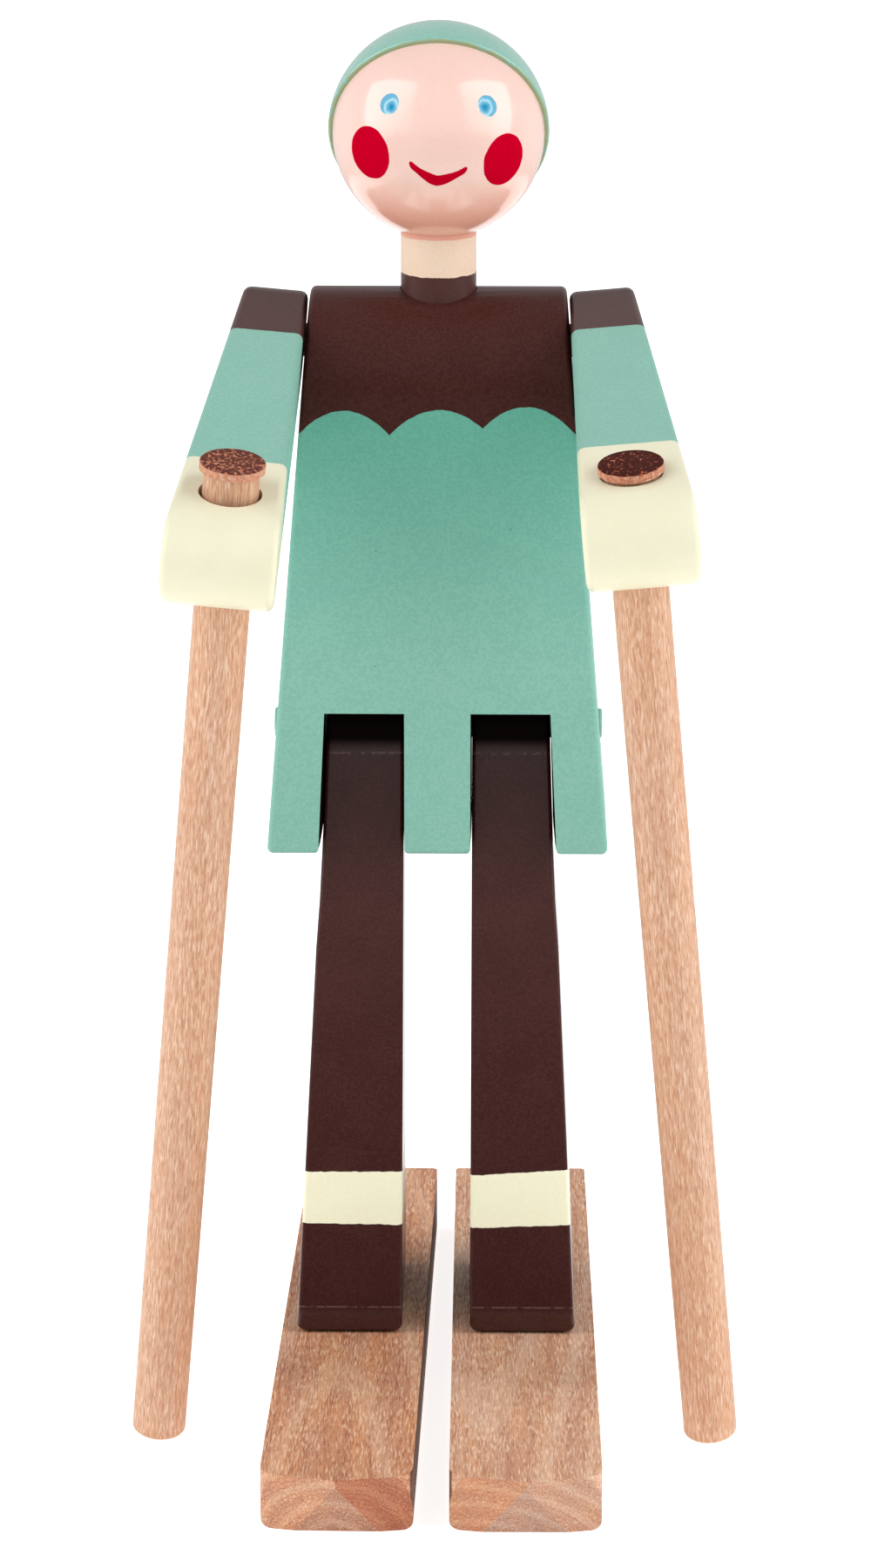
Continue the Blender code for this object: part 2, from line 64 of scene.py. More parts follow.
def feedNode(node, feeds):
    # a feed is a value, a colour code, a socket, or a node whose first live output is meant
    live = [socket for socket in node.inputs if socket.enabled]
    for key, value in feeds.items():
        if key in ("From", "To"):  # a pair
            feedNode(node, {key + " Min": value[0], key + " Max": value[1]})
            continue
        socket = live[key] if isinstance(key, int) else next(s for s in live if s.name == key)
        if isinstance(value, bpy.types.Node):
            value = next(output for output in value.outputs if output.enabled)
        if isinstance(value, bpy.types.NodeSocket):
            node.id_data.links.new(value, socket)
        else:
            socket.default_value = colour(value) if isinstance(value, str) else value


def addNode(tree, kind, *feeds, **settings):
    # shader nodes go by their short names, and Math nodes by what they do;
    # feeds are in the order of the sockets or in a dictionary
    if kind.isupper():
        kind, settings["operation"] = "Math", kind
    node = tree.nodes.new(kind if "Node" in kind else "ShaderNode" + kind)
    for setting, value in settings.items():
        setattr(node, setting, value)
    for order, feed in enumerate(feeds):
        feedNode(node, feed if isinstance(feed, dict) else {order: feed})
    return node


def startFinish(name, origin=(0, 0, 0), turn=(0, 0, 0)):
    # a new material, with coordinates in mm from the piece's own origin and turned with the piece
    finish = bpy.data.materials.new(name)
    finish.use_nodes = True
    tree = finish.node_tree
    add = partial(addNode, tree)
    coords = add("TexCoord").outputs["Object"]
    place = add(
        "Mapping", {"Vector": coords, "Location": origin, "Rotation": turn, "Scale": (mm, mm, mm)},
        vector_type="TEXTURE")
    return finish, add, tree.nodes["Principled BSDF"], place


def closeFinish(shader, tint, roughness, relief, shine=0.5, ior=1.45):
    feedNode(shader, {
        "Base Color": tint, "Roughness": roughness, "Normal": relief,
        "Specular IOR Level": shine, "IOR": ior})


soft = {"interpolation_type": "SMOOTHSTEP"}  # ramps that ease in and out


def overlaid(add, tint, *others, blend="MIX"):
    # (mask, colour) pairs laid over a colour, one after the other
    for mask, over in others:
        tint = add("Mix", {"Factor": mask, "A": tint, "B": over}, data_type="RGBA", blend_type=blend)
    return tint


def layered(add, first, *others):
    # coats over each other: (colour, roughness), then (mask, colour, roughness) for each one on top
    tint, roughness = first
    for mask, overTint, overRoughness in others:
        tint = overlaid(add, tint, (mask, overTint))
        roughness = add("Mix", {"Factor": mask, "A": roughness, "B": overRoughness})
    return tint, roughness


def highest(add, values):
    best = values[0]
    for value in values[1:]:
        best = add("MAXIMUM", best, value)
    return best


def apart(add, value, level):
    # how far a value is from a level, either way
    return add("ABSOLUTE", add("SUBTRACT", value, level))


# Paint, brushed on by hand: colour of a thick and of a thin coat, how strongly the pigment speckles it,
# and roughness
paints = {
    "green": ("#7FB5A6", "#87BBAC", 4.0, 0.42),  # satin, chalky and bluish
    "shadedGreen": ("#5EA592", "#65AB98", 4.0, 0.42),  # the same, darker and fuller: painted shade under the arms and head
    "brown": ("#3E1D19", "#462420", 3.0, 0.34),  # dark and reddish, with a soft sheen
    "collar": ("#4E2B27", "#522E2A", 2.0, 0.34),  # the same, lighter on the neck: painted sheen
    "enamel": ("#3E1E1B", "#462522", 2.0, 0.20),  # the same, glossier, on the legs
    "cream": ("#E9E6CB", "#E5E1C4", 0.5, 0.30),  # satin, yellowish
    "sock": ("#F7F7DA", "#F4F4D5", 3.0, 0.30),  # the same in a fuller coat
    "pink": ("#EFCABF", "#ECC5B9", 1.0, 0.22),  # lacquered skin tone
    "jaw": ("#F7B29C", "#F3AB94", 1.0, 0.22),  # the same, warmer below, as painted bounce light
    "red": ("#B60020", "#C00126", 1.0, 0.40),  # deep, dabbed on last
    "skin": ("#F8DCC5", "#F4D5BB", 1.5, 0.30)}  # pale cream of the neck
coat = {
    "driftSize": 7.0,  # mm, slow change in thickness
    "speckleSize": 0.42,  # mm, coarser than the real pigment so that it shows
    "contrast": 0.3,  # level of the noise either side of its middle, from thick to thin
    "peelSize": 0.55,  # mm, orange peel
    "peelHeight": 0.0035,  # mm
    "rippleSize": (1.1, 1.1, 7.0),  # mm, wood grain telegraphing through, long along Z
    "rippleHeight": 0.006,  # mm
    "edgeHeight": 0.02,  # mm, the step where one coat ends on another
    "wobbleSize": 1.5}  # mm, how quickly a brushed line wanders


def paintCoat(add, place, name):
    # colour and roughness of a brushed coat; its colour drifts a little with its thickness
    thick, thin, grain, roughness = paints[name]
    drift = add("TexNoise", {"Vector": place, "Scale": 1 / coat["driftSize"], "Detail": 2.0})
    speckle = add("TexNoise", {"Vector": place, "Scale": 1 / coat["speckleSize"], "Detail": 1.0})
    both = add("MULTIPLY_ADD", speckle, grain, drift)
    middle, reach = 0.5 * (1 + grain), coat["contrast"]
    spread = add("MapRange", {"Value": both, "From": (middle - reach, middle + reach)})
    return overlaid(add, thick, (spread, thin)), roughness


def brushedEdge(add, place, distance, wobble=0.16, blur=0.05):
    # 0 before and 1 past a paint line; distance is in mm and grows across the line
    hand = add("TexNoise", {"Vector": place, "Scale": 1 / coat["wobbleSize"], "Detail": 4.0})
    moved = add("MULTIPLY_ADD", hand, 2 * wobble, distance)
    return add("MapRange", {"Value": moved, "From": (wobble - blur, wobble + blur)}, **soft)


def specks(add, place, spacing, radius, share):
    # scattered round dots, in a share of the cells of a loose net
    scaled = add("VectorMath", place, {"Scale": 1 / spacing}, operation="SCALE")
    cells = add("TexVoronoi", {"Vector": scaled, "Scale": 1.0})
    reach = radius / spacing
    dot = add("MapRange", {"Value": cells.outputs["Distance"], "From": (reach, 0.6 * reach)})
    chance = add("SeparateColor", cells.outputs["Color"])
    return add("MULTIPLY", dot, add("LESS_THAN", chance, share))


def paintRelief(add, place, edges, rippleHeight=coat["rippleHeight"], peelHeight=coat["peelHeight"]):
    # grain ripple, orange peel and the steps at paint lines, as heights in mm
    ripple = add("Mapping", {"Vector": place, "Scale": [1 / size for size in coat["rippleSize"]]})
    grain = add("TexNoise", {"Vector": ripple, "Scale": 1.0, "Detail": 3.0})
    peel = add("TexNoise", {"Vector": place, "Scale": 1 / coat["peelSize"], "Detail": 2.0})
    height = add("MULTIPLY", peel, peelHeight)
    for step, rise in [(grain, rippleHeight)] + [(edge, coat["edgeHeight"]) for edge in edges]:
        height = add("MULTIPLY_ADD", step, rise, height)
    return add("Bump", {"Height": height, "Distance": mm, "Strength": 1.0})


# Meshes

def placed(name, data):
    piece = bpy.data.objects.new(name, data)
    bpy.context.scene.collection.objects.link(piece)
    return piece


def settled(piece):
    # the evaluated mesh takes the place of the live modifiers
    bpy.context.view_layer.update()
    evaluated = piece.evaluated_get(bpy.context.evaluated_depsgraph_get())
    mesh = bpy.data.meshes.new_from_object(evaluated)
    piece.modifiers.clear()
    piece.data = mesh
    mesh.name = piece.name
    return piece


def carvedPiece(name, node, finish, crispAngle=None, crispArea=10.0, roundAngle=40.0, reshape=None):
    # a copy of a CAD node: its loose triangles joined, flats kept flat, edges below roundAngle degrees
    # shaded round, and those between two flats of over crispArea mm2 kept crisp from crispAngle degrees;
    # reshape may move its vertices first
    source = frame["nodes"][node].data
    mesh = bpy.data.meshes.new(name)
    mesh.from_pydata([v.co for v in source.vertices], [], [tuple(p.vertices) for p in source.polygons])
    form = bmesh.new()
    form.from_mesh(mesh)
    bmesh.ops.remove_doubles(form, verts=form.verts, dist=0.002 * mm)
    bmesh.ops.dissolve_limit(form, angle_limit=math.radians(0.5), verts=form.verts, edges=form.edges)
    if reshape:
        reshape(form)
    form.edges.index_update()
    crisp = []
    for edge in form.edges:
        large = all(face.calc_area() > crispArea * mm ** 2 for face in edge.link_faces)
        if crispAngle and large and math.degrees(edge.calc_face_angle()) > crispAngle:
            crisp.append(edge.index)
    form.to_mesh(mesh)
    form.free()
    mesh.shade_smooth()
    mesh.set_sharp_from_angle(angle=math.radians(roundAngle))
    for index in crisp:
        mesh.edges[index].use_edge_sharp = True
    piece = placed(name, mesh)
    mesh.materials.append(finish)
    flats = piece.modifiers.new("flatsFirst", "WEIGHTED_NORMAL")
    flats.keep_sharp = True
    flats.weight = 100
    return settled(piece)


def handOver(piece, body, node):
    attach(piece, body)
    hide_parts(node)


def arcPoints(centre, radius, start, end, step=6):
    # (radius, height) points on an arc; angles in degrees
    count = max(2, math.ceil(abs(end - start) / step))
    turns = [math.radians(start + (end - start) * i / count) for i in range(count + 1)]
    return [(centre[0] + radius * math.cos(t), centre[1] + radius * math.sin(t)) for t in turns]


# Lathe: turns a profile of (radius, height) points about Z
def buildLathe():
    tree = bpy.data.node_groups.new("lathe", "GeometryNodeTree")
    add = partial(addNode, tree)
    for label, kind in (("Profile", "Geometry"), ("Sides", "Int"), ("Finish", "Material")):
        tree.interface.new_socket(label, in_out="INPUT", socket_type="NodeSocket" + kind)
    tree.interface.new_socket("Turned", in_out="OUTPUT", socket_type="NodeSocketGeometry")
    given = add("NodeGroupInput").outputs
    size = add("GeometryNodeAttributeDomainSize", {"Geometry": given["Profile"]}, component="MESH")
    count = size.outputs["Point Count"]
    columns = add("ADD", given["Sides"], 1.0)
    sheet = add(
        "GeometryNodeMeshGrid", {"Size X": 1.0, "Size Y": 1.0, "Vertices X": columns, "Vertices Y": count})
    position = add("GeometryNodeInputPosition")
    across = add("SeparateXYZ", position)
    angle = add("MULTIPLY", across.outputs["X"], math.tau)
    last = add("SUBTRACT", count, 1.0)
    share = add("ADD", across.outputs["Y"], 0.5)
    index = add("ROUND", add("MULTIPLY", share, last))
    sample = add(
        "GeometryNodeSampleIndex", {"Geometry": given["Profile"], "Value": position, "Index": index},
        data_type="FLOAT_VECTOR")
    turned = add("VectorRotate", {"Vector": sample, "Angle": angle}, rotation_type="Z_AXIS")
    wrapped = add("GeometryNodeSetPosition", {"Geometry": sheet.outputs["Mesh"], "Position": turned})
    closed = add("GeometryNodeMergeByDistance", {"Geometry": wrapped, "Distance": 0.001 * mm})
    smooth = add("GeometryNodeSetShadeSmooth", closed)
    real = add("GeometryNodeRealizeInstances", smooth)
    finished = add("GeometryNodeSetMaterial", {"Geometry": real, "Material": given["Finish"]})
    add("NodeGroupOutput", finished)
    return tree


lathe = buildLathe()
latheInput = {item.name: item.identifier for item in lathe.interface.items_tree if item.in_out == "INPUT"}


def turnedPiece(name, profile, frameMatrix, finish, turnSides, sharpAngle=50, bore=None):
    mesh = bpy.data.meshes.new(name)
    edges = [(i, i + 1) for i in range(len(profile) - 1)]
    mesh.from_pydata([(radius * mm, 0.0, height * mm) for radius, height in profile], edges, [])
    piece = placed(name, mesh)
    turning = piece.modifiers.new("turning", "NODES")
    turning.node_group = lathe
    turning[latheInput["Sides"]] = turnSides
    turning[latheInput["Finish"]] = finish
    settled(piece)
    form = bmesh.new()
    form.from_mesh(piece.data)
    bmesh.ops.recalc_face_normals(form, faces=form.faces)
    bmesh.ops.transform(form, matrix=frameMatrix, verts=form.verts)
    form.to_mesh(piece.data)
    form.free()
    if bore:
        drill = piece.modifiers.new("bore", "BOOLEAN")
        drill.solver = "EXACT"
        drill.object = bore
        settled(piece)
        bpy.data.objects.remove(bore)
    piece.data.set_sharp_from_angle(angle=math.radians(sharpAngle))
    return piece


# Legs: brown all over, with a cream sock band above the boot
legLook = {
    "sockTop": {"left": 34.4, "right": 34.3},  # mm above the floor, at the band's middle
    "sockFoot": {"left": 26.7, "right": 26.4},
    "topTilt": {"left": 0.005, "right": 0.06},  # rise per mm toward the right
    "footTilt": {"left": -0.01, "right": 0.035},
    "middle": 12.0,  # mm from the figure's middle to the leg's
    "outerFrom": 11.5,  # mm, past which a vertex is on the outer side
    "stainAndShade": (96.3, 98.2),  # mm above the floor, where the round top darkens: painted shade under the slot's ceiling
    "topShadeColour": "#120907",
    "shine": (0.5, 0.03),  # specular level on the leg and on the dark top
    "peelHeight": 0.010,  # mm
    "brow": (96.0, 96.5),  # mm above the floor, a soft edge under the round top
    "browLean": 14.0,  # degrees, how far the front leans back above it
    "browCut": 98.0,  # mm above the floor, one more row of edges to bend
    "browReach": 4.5,  # mm in front of the hip pin, where it leans by the full amount
    "boreKeep": 3.0,  # mm round the hip pin that stay as they are
    "glintLines": ((96.05, 0.55, 0.56), (14.45, 0.36, 0.42)),  # painted highlights along the brow and toe edges: mm above the floor, width, share
    "glintColour": "#6C504D",
    "glintSize": 1.1,  # mm, how long the painted highlight's bits are
    "dust": (3.4, 0.07, 0.3),  # mm apart, mm radius, share
    "dustColour": "#8A6A62",
    "inside": 0.12,  # mm of paint on the inner side
    "outside": (  # mm below the hip and mm of paint on the outer side, less where the slot is tight
        (-5.0, 0.28), (0.0, 0.28), (8.0, 0.14), (14.0, 0.04), (25.0, 0.04), (32.0, 0.22), (90.0, 0.22))}
_, hipBack, hipHeight = joints["left_hip"]["pos_m"]


def cutAcross(form, faces, axis, place):
    # new edges where a plane square to an axis crosses these faces
    parts = set(faces)
    for face in faces:
        parts.update(face.edges)
        parts.update(face.verts)
    normal = Vector([float(i == "XYZ".index(axis)) for i in range(3)])
    bmesh.ops.bisect_plane(
        form, geom=list(parts), dist=0.001 * mm, plane_co=normal * place, plane_no=normal)


def leanBrow(form):
    # the front above the brow leans back to the round top, out of the light; the bore stays
    start, end = legLook["brow"]
    for height in (start, end, legLook["browCut"]):
        cutAcross(form, form.faces[:], "Z", height * mm)
    lean, ease = math.tan(math.radians(legLook["browLean"])), end - start
    for vert in form.verts:
        rise = min(vert.co.z, hipHeight) / mm - start
        ahead, above = hipBack - vert.co.y, vert.co.z - hipHeight
        if rise > 0 and ahead > 0 and math.hypot(ahead, above) > legLook["boreKeep"] * mm:
            back = rise ** 2 / (2 * ease) if rise < ease else rise - ease / 2
            vert.co.y += lean * back * ahead / legLook["browReach"]


def shapeLeg(form, side):
    # the leaning brow, and paint on the leg's sides
    leanBrow(form)
    depths = legLook["outside"]
    for below, _ in depths[1:-1]:
        cutAcross(form, form.faces[:], "Z", hipHeight - below * mm)
    for vert in form.verts:
        depth = (hipHeight - vert.co.z) / mm
        (low, first), (high, last) = next(pair for pair in zip(depths, depths[1:]) if depth <= pair[1][0])
        grown = first + (last - first) * max(0.0, depth - low) / (high - low)
        outer = side * vert.co.x > legLook["outerFrom"] * mm
        vert.co.x += side * mm * (grown if outer else -legLook["inside"])


def legFinish(name):
    # beech wedge in thick glossy enamel, with painted highlights in places along its brow and toe edges and
    # painted shade on its round top;
    # the cream band is brushed over
    finish, add, shader, place = startFinish("beechGlossEnamelLeg." + name)
    at = add("SeparateXYZ", place).outputs
    edges = []
    for part in ("Foot", "Top"):
        height, tilt = legLook["sock" + part][name], legLook[part.lower() + "Tilt"][name]
        level = add("MULTIPLY_ADD", at["X"], -tilt, at["Z"])
        above = add("SUBTRACT", level, height - tilt * legLook["middle"] * sides[name])
        edges.append(brushedEdge(add, place, above, wobble=0.2))
    band = add("SUBTRACT", edges[0], edges[1])
    # painted shade: the round top under the slot's ceiling darkens almost black
    stainAndShade = add("MapRange", {"Value": at["Z"], "From": legLook["stainAndShade"]}, **soft)
    glintBreaks = add("TexNoise", {"Vector": place, "Scale": 1 / legLook["glintSize"], "Detail": 3.0})
    lines = []
    # painted highlight: pale broken lines along the brow and toe edges, standing in for glints
    for height, width, share in legLook["glintLines"]:
        off = apart(add, at["Z"], height)
        line = add("MapRange", {"Value": off, "From": (0.5 * width, 0.1 * width)})
        glinting = add("MapRange", {"Value": glintBreaks, "From": (share - 0.06, share + 0.08)})
        lines.append(add("MULTIPLY", line, glinting))
    enamel, gloss = paintCoat(add, place, "enamel")
    tint, roughness = layered(
        add, (enamel, gloss),
        (specks(add, place, *legLook["dust"]), legLook["dustColour"], gloss),
        (stainAndShade, legLook["topShadeColour"], gloss),
        (highest(add, lines), legLook["glintColour"], gloss),
        (band, *paintCoat(add, place, "sock")))
    shine = add("MapRange", {"Value": stainAndShade, "To": legLook["shine"]})
    relief = paintRelief(add, place, [band], peelHeight=legLook["peelHeight"])
    closeFinish(shader, tint, roughness, relief, shine)
    return finish


legs = {}
for name, side in sides.items():
    legs[name] = carvedPiece(
        name + "LegWedge", name + "_leg", legFinish(name), reshape=lambda form: shapeLeg(form, side))
    handOver(legs[name], name + "_leg", name + "_leg")
print("legs done")


# Torso: brown yoke above a scalloped line, green skirt below, on all sides of the block
torsoLook = {
    "lobes": ((-13.9, 151.1, 0.080), (0.35, 151.25, 0.068), (13.2, 151.75, 0.078)),  # mm: middle, top, bend
    "upperShadeRange": (112.0, 150.0),  # mm above the floor, over which the green darkens upward as painted shade
    "front": 6.1,  # mm, front face of the block
    "back": 33.1,
    "topRise": (152.0, 165.5, 0.42),  # mm above the floor, from and to, and how much the top rises
    "tongueDrop": (86.0, 0.42),  # mm above the floor, and how much the tongues' ends drop below it
    "margin": 0.1,  # mm inside these faces
    "slotCeiling": 104.45,  # mm above the floor
    "slotFoot": 83.6,
    "slotReach": 19.0,  # mm from the middle, past the slots' outer walls
    "wallReach": 19.9,  # the same, for the middle of a wall's face
    "slack": 0.05,  # mm, to tell walls from the ceiling
    "slotGap": 0.09,  # mm left beside a leg as it swings
    "slotCuts": (-11.5, -9.0, -6.0, -3.0, 0.0, 3.0, 6.0, 9.0, 11.5),  # mm from the hip pin, front to back
    "slotLevels": (-14.0, -11.0, -8.0, -5.0, -2.0, 1.0),  # mm above the pin
    "swellDepth": 13.0,  # mm from the hip pin, front and back
    "swellFade": 13.5,  # mm from the hip pin, where the inner walls no longer swell
    "edgeReach": 1.2,  # mm behind a wall, over which its rounded edges follow it
    "pinKeep": 3.0,  # mm below the hip pin, where the leg is first measured
    "probe": (9.0, 1.2, 20.0),  # mm behind the pin and above the foot to find a wall, and outside a leg
    "dots": (5.0, 0.16, 0.35),  # mm apart, mm radius, share
    "dotColour": "#4F8676",
    # painted shade: the slots' walls and ceiling darkened almost black
    "slotShadeColour": "#160C0A",
    "slotRoughness": 0.9,
    "shine": (0.15, 0.0)}  # specular level on the block and in the slots


def scallopDistance(add, at):
    # height above the highest of three hand-drawn lobes
    lobes = []
    for middle, top, bend in torsoLook["lobes"]:
        off = add("SUBTRACT", at["X"], middle)
        squared = add("MULTIPLY", off, off)
        lobes.append(add("MULTIPLY_ADD", squared, -bend, top))
    return add("SUBTRACT", at["Z"], highest(add, lobes))


def slotMask(add, at):
    # 1 on the walls and the ceiling of the leg slots, which lie inside these limits
    margin = torsoLook["margin"]
    mask = add("LESS_THAN", add("ABSOLUTE", at["X"]), torsoLook["slotReach"])
    for axis, test, limit in (
            ("Y", "GREATER_THAN", torsoLook["front"] + margin),
            ("Y", "LESS_THAN", torsoLook["back"] - margin),
            ("Z", "GREATER_THAN", torsoLook["slotFoot"]),
            ("Z", "LESS_THAN", torsoLook["slotCeiling"] + margin)):
        mask = add("MULTIPLY", mask, add(test, at[axis], limit))
    return mask


def slotFaces(form):
    ceiling, inset = torsoLook["slotCeiling"] - torsoLook["slack"], 2 * torsoLook["margin"]
    front, back = torsoLook["front"] + inset, torsoLook["back"] - inset
    found = []
    for face in form.faces:
        at = face.calc_center_median() / mm
        if abs(at.x) < torsoLook["wallReach"] and front < at.y < back and at.z < ceiling:
            found.append(face)
    return found


def swellWalls(form, walls):
    # the slots' walls swell toward the legs, as far as their swing leaves room, and keep daylight out;
    # a leg that swings past a point is as wide there as it is at that distance below the pin
    shells = {name: BVHTree.FromPolygons(
        [v.co for v in leg.data.vertices], [tuple(p.vertices) for p in leg.data.polygons])
        for name, leg in legs.items()}
    gap, reach = torsoLook["slotGap"] * mm, torsoLook["edgeReach"] * mm
    ceiling = (torsoLook["slotCeiling"] - torsoLook["slack"]) * mm
    probeBack, probeRise, probeOut = torsoLook["probe"]
    middle = legLook["middle"] * mm  # between a slot's two walls
    for vert in form.verts:
        along = vert.co.y - hipBack
        if abs(along) > torsoLook["swellDepth"] * mm or vert.co.z > ceiling:
            continue
        name = "left" if vert.co.x < 0 else "right"
        side = sides[name]
        below = max(torsoLook["pinKeep"] * mm, math.hypot(along, hipHeight - vert.co.z))
        outer = side * vert.co.x > middle
        outward = Vector((side if outer else -side, 0.0, 0.0))
        level = max(vert.co.z, (torsoLook["slotFoot"] + probeRise) * mm)
        wall = walls.ray_cast(Vector((side * middle, hipBack + probeBack * mm, level)), outward)[0]
        leg = shells[name].ray_cast(
            Vector((side * middle, hipBack, hipHeight - below)) + outward * probeOut * mm, -outward)[0]
        behind = (vert.co.x - wall.x) * outward.x
        room = (wall.x - leg.x) * outward.x - gap
        if -torsoLook["slack"] * mm < behind < reach and room > 0:
            ease = 1.0 if outer else 1.0 - (along / (torsoLook["swellFade"] * mm)) ** 2
            vert.co.x -= outward.x * room * ease * min(1.0, 1.0 - behind / reach)


def shapeTorso(form):
    # a slightly higher top, longer tongues and fuller slot walls
    walls = BVHTree.FromBMesh(form)
    for cut in torsoLook["slotCuts"]:
        cutAcross(form, slotFaces(form), "Y", hipBack + cut * mm)
    for level in torsoLook["slotLevels"]:
        cutAcross(form, slotFaces(form), "Z", hipHeight + level * mm)
    start, end, rise = torsoLook["topRise"]
    foot, drop = torsoLook["tongueDrop"]
    for vert in form.verts:
        vert.co.z += rise * mm * max(0.0, (vert.co.z / mm - start) / (end - start))
        vert.co.z -= drop * mm * float(vert.co.z < foot * mm)
    swellWalls(form, walls)


def torsoFinish():
    # beech block in brushed satin green, darker toward the top as painted shade, with soft brown over a
    # wavering line;
    # the slots are darkened almost black as painted shade, and dull
    finish, add, shader, place = startFinish("beechBrushedGreenAndBrown")
    at = add("SeparateXYZ", place).outputs
    yoke = brushedEdge(add, place, scallopDistance(add, at), wobble=0.17)
    # painted shade: the green darkens toward the top, where the arms and head shade it
    upperPaintedShade = add("MapRange", {"Value": at["Z"], "From": torsoLook["upperShadeRange"]})
    slot = slotMask(add, at)
    green, satin = paintCoat(add, place, "green")
    tint, roughness = layered(
        add, (green, satin),
        (upperPaintedShade, *paintCoat(add, place, "shadedGreen")),
        (specks(add, place, *torsoLook["dots"]), torsoLook["dotColour"], satin),
        (yoke, *paintCoat(add, place, "brown")),
        # painted shade inside the leg slots
        (slot, torsoLook["slotShadeColour"], torsoLook["slotRoughness"]))
    shine = add("MapRange", {"Value": slot, "To": torsoLook["shine"]})
    closeFinish(shader, tint, roughness, paintRelief(add, place, [yoke]), shine)
    return finish


handOver(
    carvedPiece("torsoBlock", "torso", torsoFinish(), reshape=shapeTorso), "torso", "torso")
print("torso done")


# Arms: brown shoulder cap, green sleeve, cream mitten, each paint line square to the arm
armLook = {
    "drop": {"left": 12.8, "right": 10.3},  # degrees below level
    "lean": 5.1,  # degrees, a little more than the torso's side
    "toeIn": 0.25,  # degrees
    "capEnd": 13.8,  # mm from the shoulder's pivot
    "sleeveEnd": 57.8,  # mm from the shoulder's pivot
    "shine": 0.28}  # specular level


def armFinish(name):
    # beech bar, brushed: satin green sleeve between soft brown and satin cream
    turn = [armLook["drop"][name], -sides[name] * armLook["lean"], -sides[name] * armLook["toeIn"]]
    finish, add, shader, place = startFinish(
        "beechBrushedSleeve." + name, joints[name + "_shoulder"]["pos_m"], [math.radians(t) for t in turn])
    at = add("SeparateXYZ", place).outputs
    edges = []
    for end in (armLook["capEnd"], armLook["sleeveEnd"]):
        past = add("SUBTRACT", -end, at["Y"])
        edges.append(brushedEdge(add, place, past, wobble=0.1))
    tint, roughness = layered(
        add, paintCoat(add, place, "brown"), (edges[0], *paintCoat(add, place, "green")),
        (edges[1], *paintCoat(add, place, "cream")))
    closeFinish(shader, tint, roughness, paintRelief(add, place, edges), armLook["shine"])
    return finish


for name in sides:
    bar = carvedPiece(name + "ArmBar", name + "_arm", armFinish(name))
    handOver(bar, name + "_arm", name + "_arm")
print("arms done")


# Head: a lacquered ball with a cap that stands out a little, and a doll's painted face
headLook = {
    "radius": 15.8,  # mm
    "capStep": 0.68,  # mm
    "capTilt": 25.0,  # degrees, the cap's axis above level toward the back
    "capRoll": 2.0,  # degrees, right side lower
    "rimFromCentre": -0.08,  # mm along the cap's axis
    "rimRound": 0.4,  # mm
    "rimLap": 0.12,  # mm, how far the cap's paint runs onto the face
    "rimBand": 0.22,  # mm, where the cap's paint runs thin
    "rimColour": "#98A47A",
    "rimRoughness": 0.35,
    "capRoughness": 0.28,
    "boreRadius": 5.8,  # mm, round the neck
    "boreTop": -6.5,  # mm from the ball's centre
    "ior": 1.5,
    "shine": (0.5, 0.0),  # specular level under the lacquer and on dabbed paint
    "lacquer": (0.55, 0.0),  # the same for the clear coat
    "lacquerRoughness": 0.08,
    "ripple": 0.001,  # mm
    "peel": 0.0012,  # mm
    "sides": 128}
faceLook = {
    "eyes": {"left": (-7.10, -12.82, 6.30), "right": (7.43, -12.81, 6.06)},  # mm from the ball's centre
    "eyeHalf": (1.55, 1.60),  # mm, half width and height
    "eyeDab": {"left": (-0.28, -0.30), "right": (0.28, -0.15)},  # shares of eyeHalf, left and up
    "eyeColours": ("#69AECB", "#A6D3E4", "#2C8DB8"),  # ground, pale curl and dark dab
    "eyeDark": (0.72, 0.45),  # shares of eyeHalf, where the dab starts and is full
    "eyeCurl": (0.95, 0.20, 0.05),  # the same: the curl from the dab's middle, its edge and its full tint
    "cheeks": {"left": (-10.30, -12.30, -1.15), "right": (10.05, -12.30, -2.15)},
    "cheekHalf": (3.62, 3.95),
    "cheekTilt": {"left": 20.0, "right": -20.0},  # degrees
    "mouth": (0.0, -15.25, -4.1),
    "mouthHalf": 3.75,  # mm
    "mouthSag": 1.75,  # mm, from the corners to the middle
    "mouthBend": 1.4,  # power, 1 for straight sides and 2 for a bow
    "mouthLift": 0.35,  # share of the sag that lies below the mouth's place
    "mouthTaper": (0.2, 0.9),  # shares of mouthHalf, from thick to thin
    "mouthTilt": -6.0,  # degrees, right corner lower
    "mouthThick": (0.86, 0.55),  # mm, half thickness in the middle and at the corners
    "depth": 6.0,  # mm, how deep a patch of paint reaches into the ball
    "jaw": (-4.0, -12.0)}  # mm from the ball's centre, where the skin tone warms as painted bounce light
headCentre = Vector(joints["head_turn"]["pos_m"])
capTurn = (Matrix.Rotation(math.radians(headLook["capRoll"]), 4, "Y")
           @ Matrix.Rotation(math.radians(headLook["capTilt"] - 90), 4, "X"))


def facePatch(add, spot, half, tilt):
    # coordinates on the ball about a spot of the face, in shares of half; depth counts little
    outward = Vector(spot).normalized()
    flat = outward.to_track_quat("Y", "Z").to_matrix().to_4x4()
    turn = (flat @ Matrix.Rotation(math.radians(tilt), 4, "Y")).to_euler()
    coords = add("TexCoord").outputs["Object"]
    return add(
        "Mapping",
        {"Vector": coords, "Location": headCentre + outward * headLook["radius"] * mm, "Rotation": turn,
         "Scale": (half[0] * mm, faceLook["depth"] * mm, half[1] * mm)}, vector_type="TEXTURE")


def roundPatch(add, place, spot, half, tilt=0.0):
    # a brushed oval; its edge wanders by a fraction of a millimetre
    patch = facePatch(add, spot, half, tilt)
    reach = add("VectorMath", patch, operation="LENGTH")
    inside = add("MULTIPLY_ADD", reach, -half[0], half[0])
    return brushedEdge(add, place, inside, wobble=0.13, blur=0.05), patch


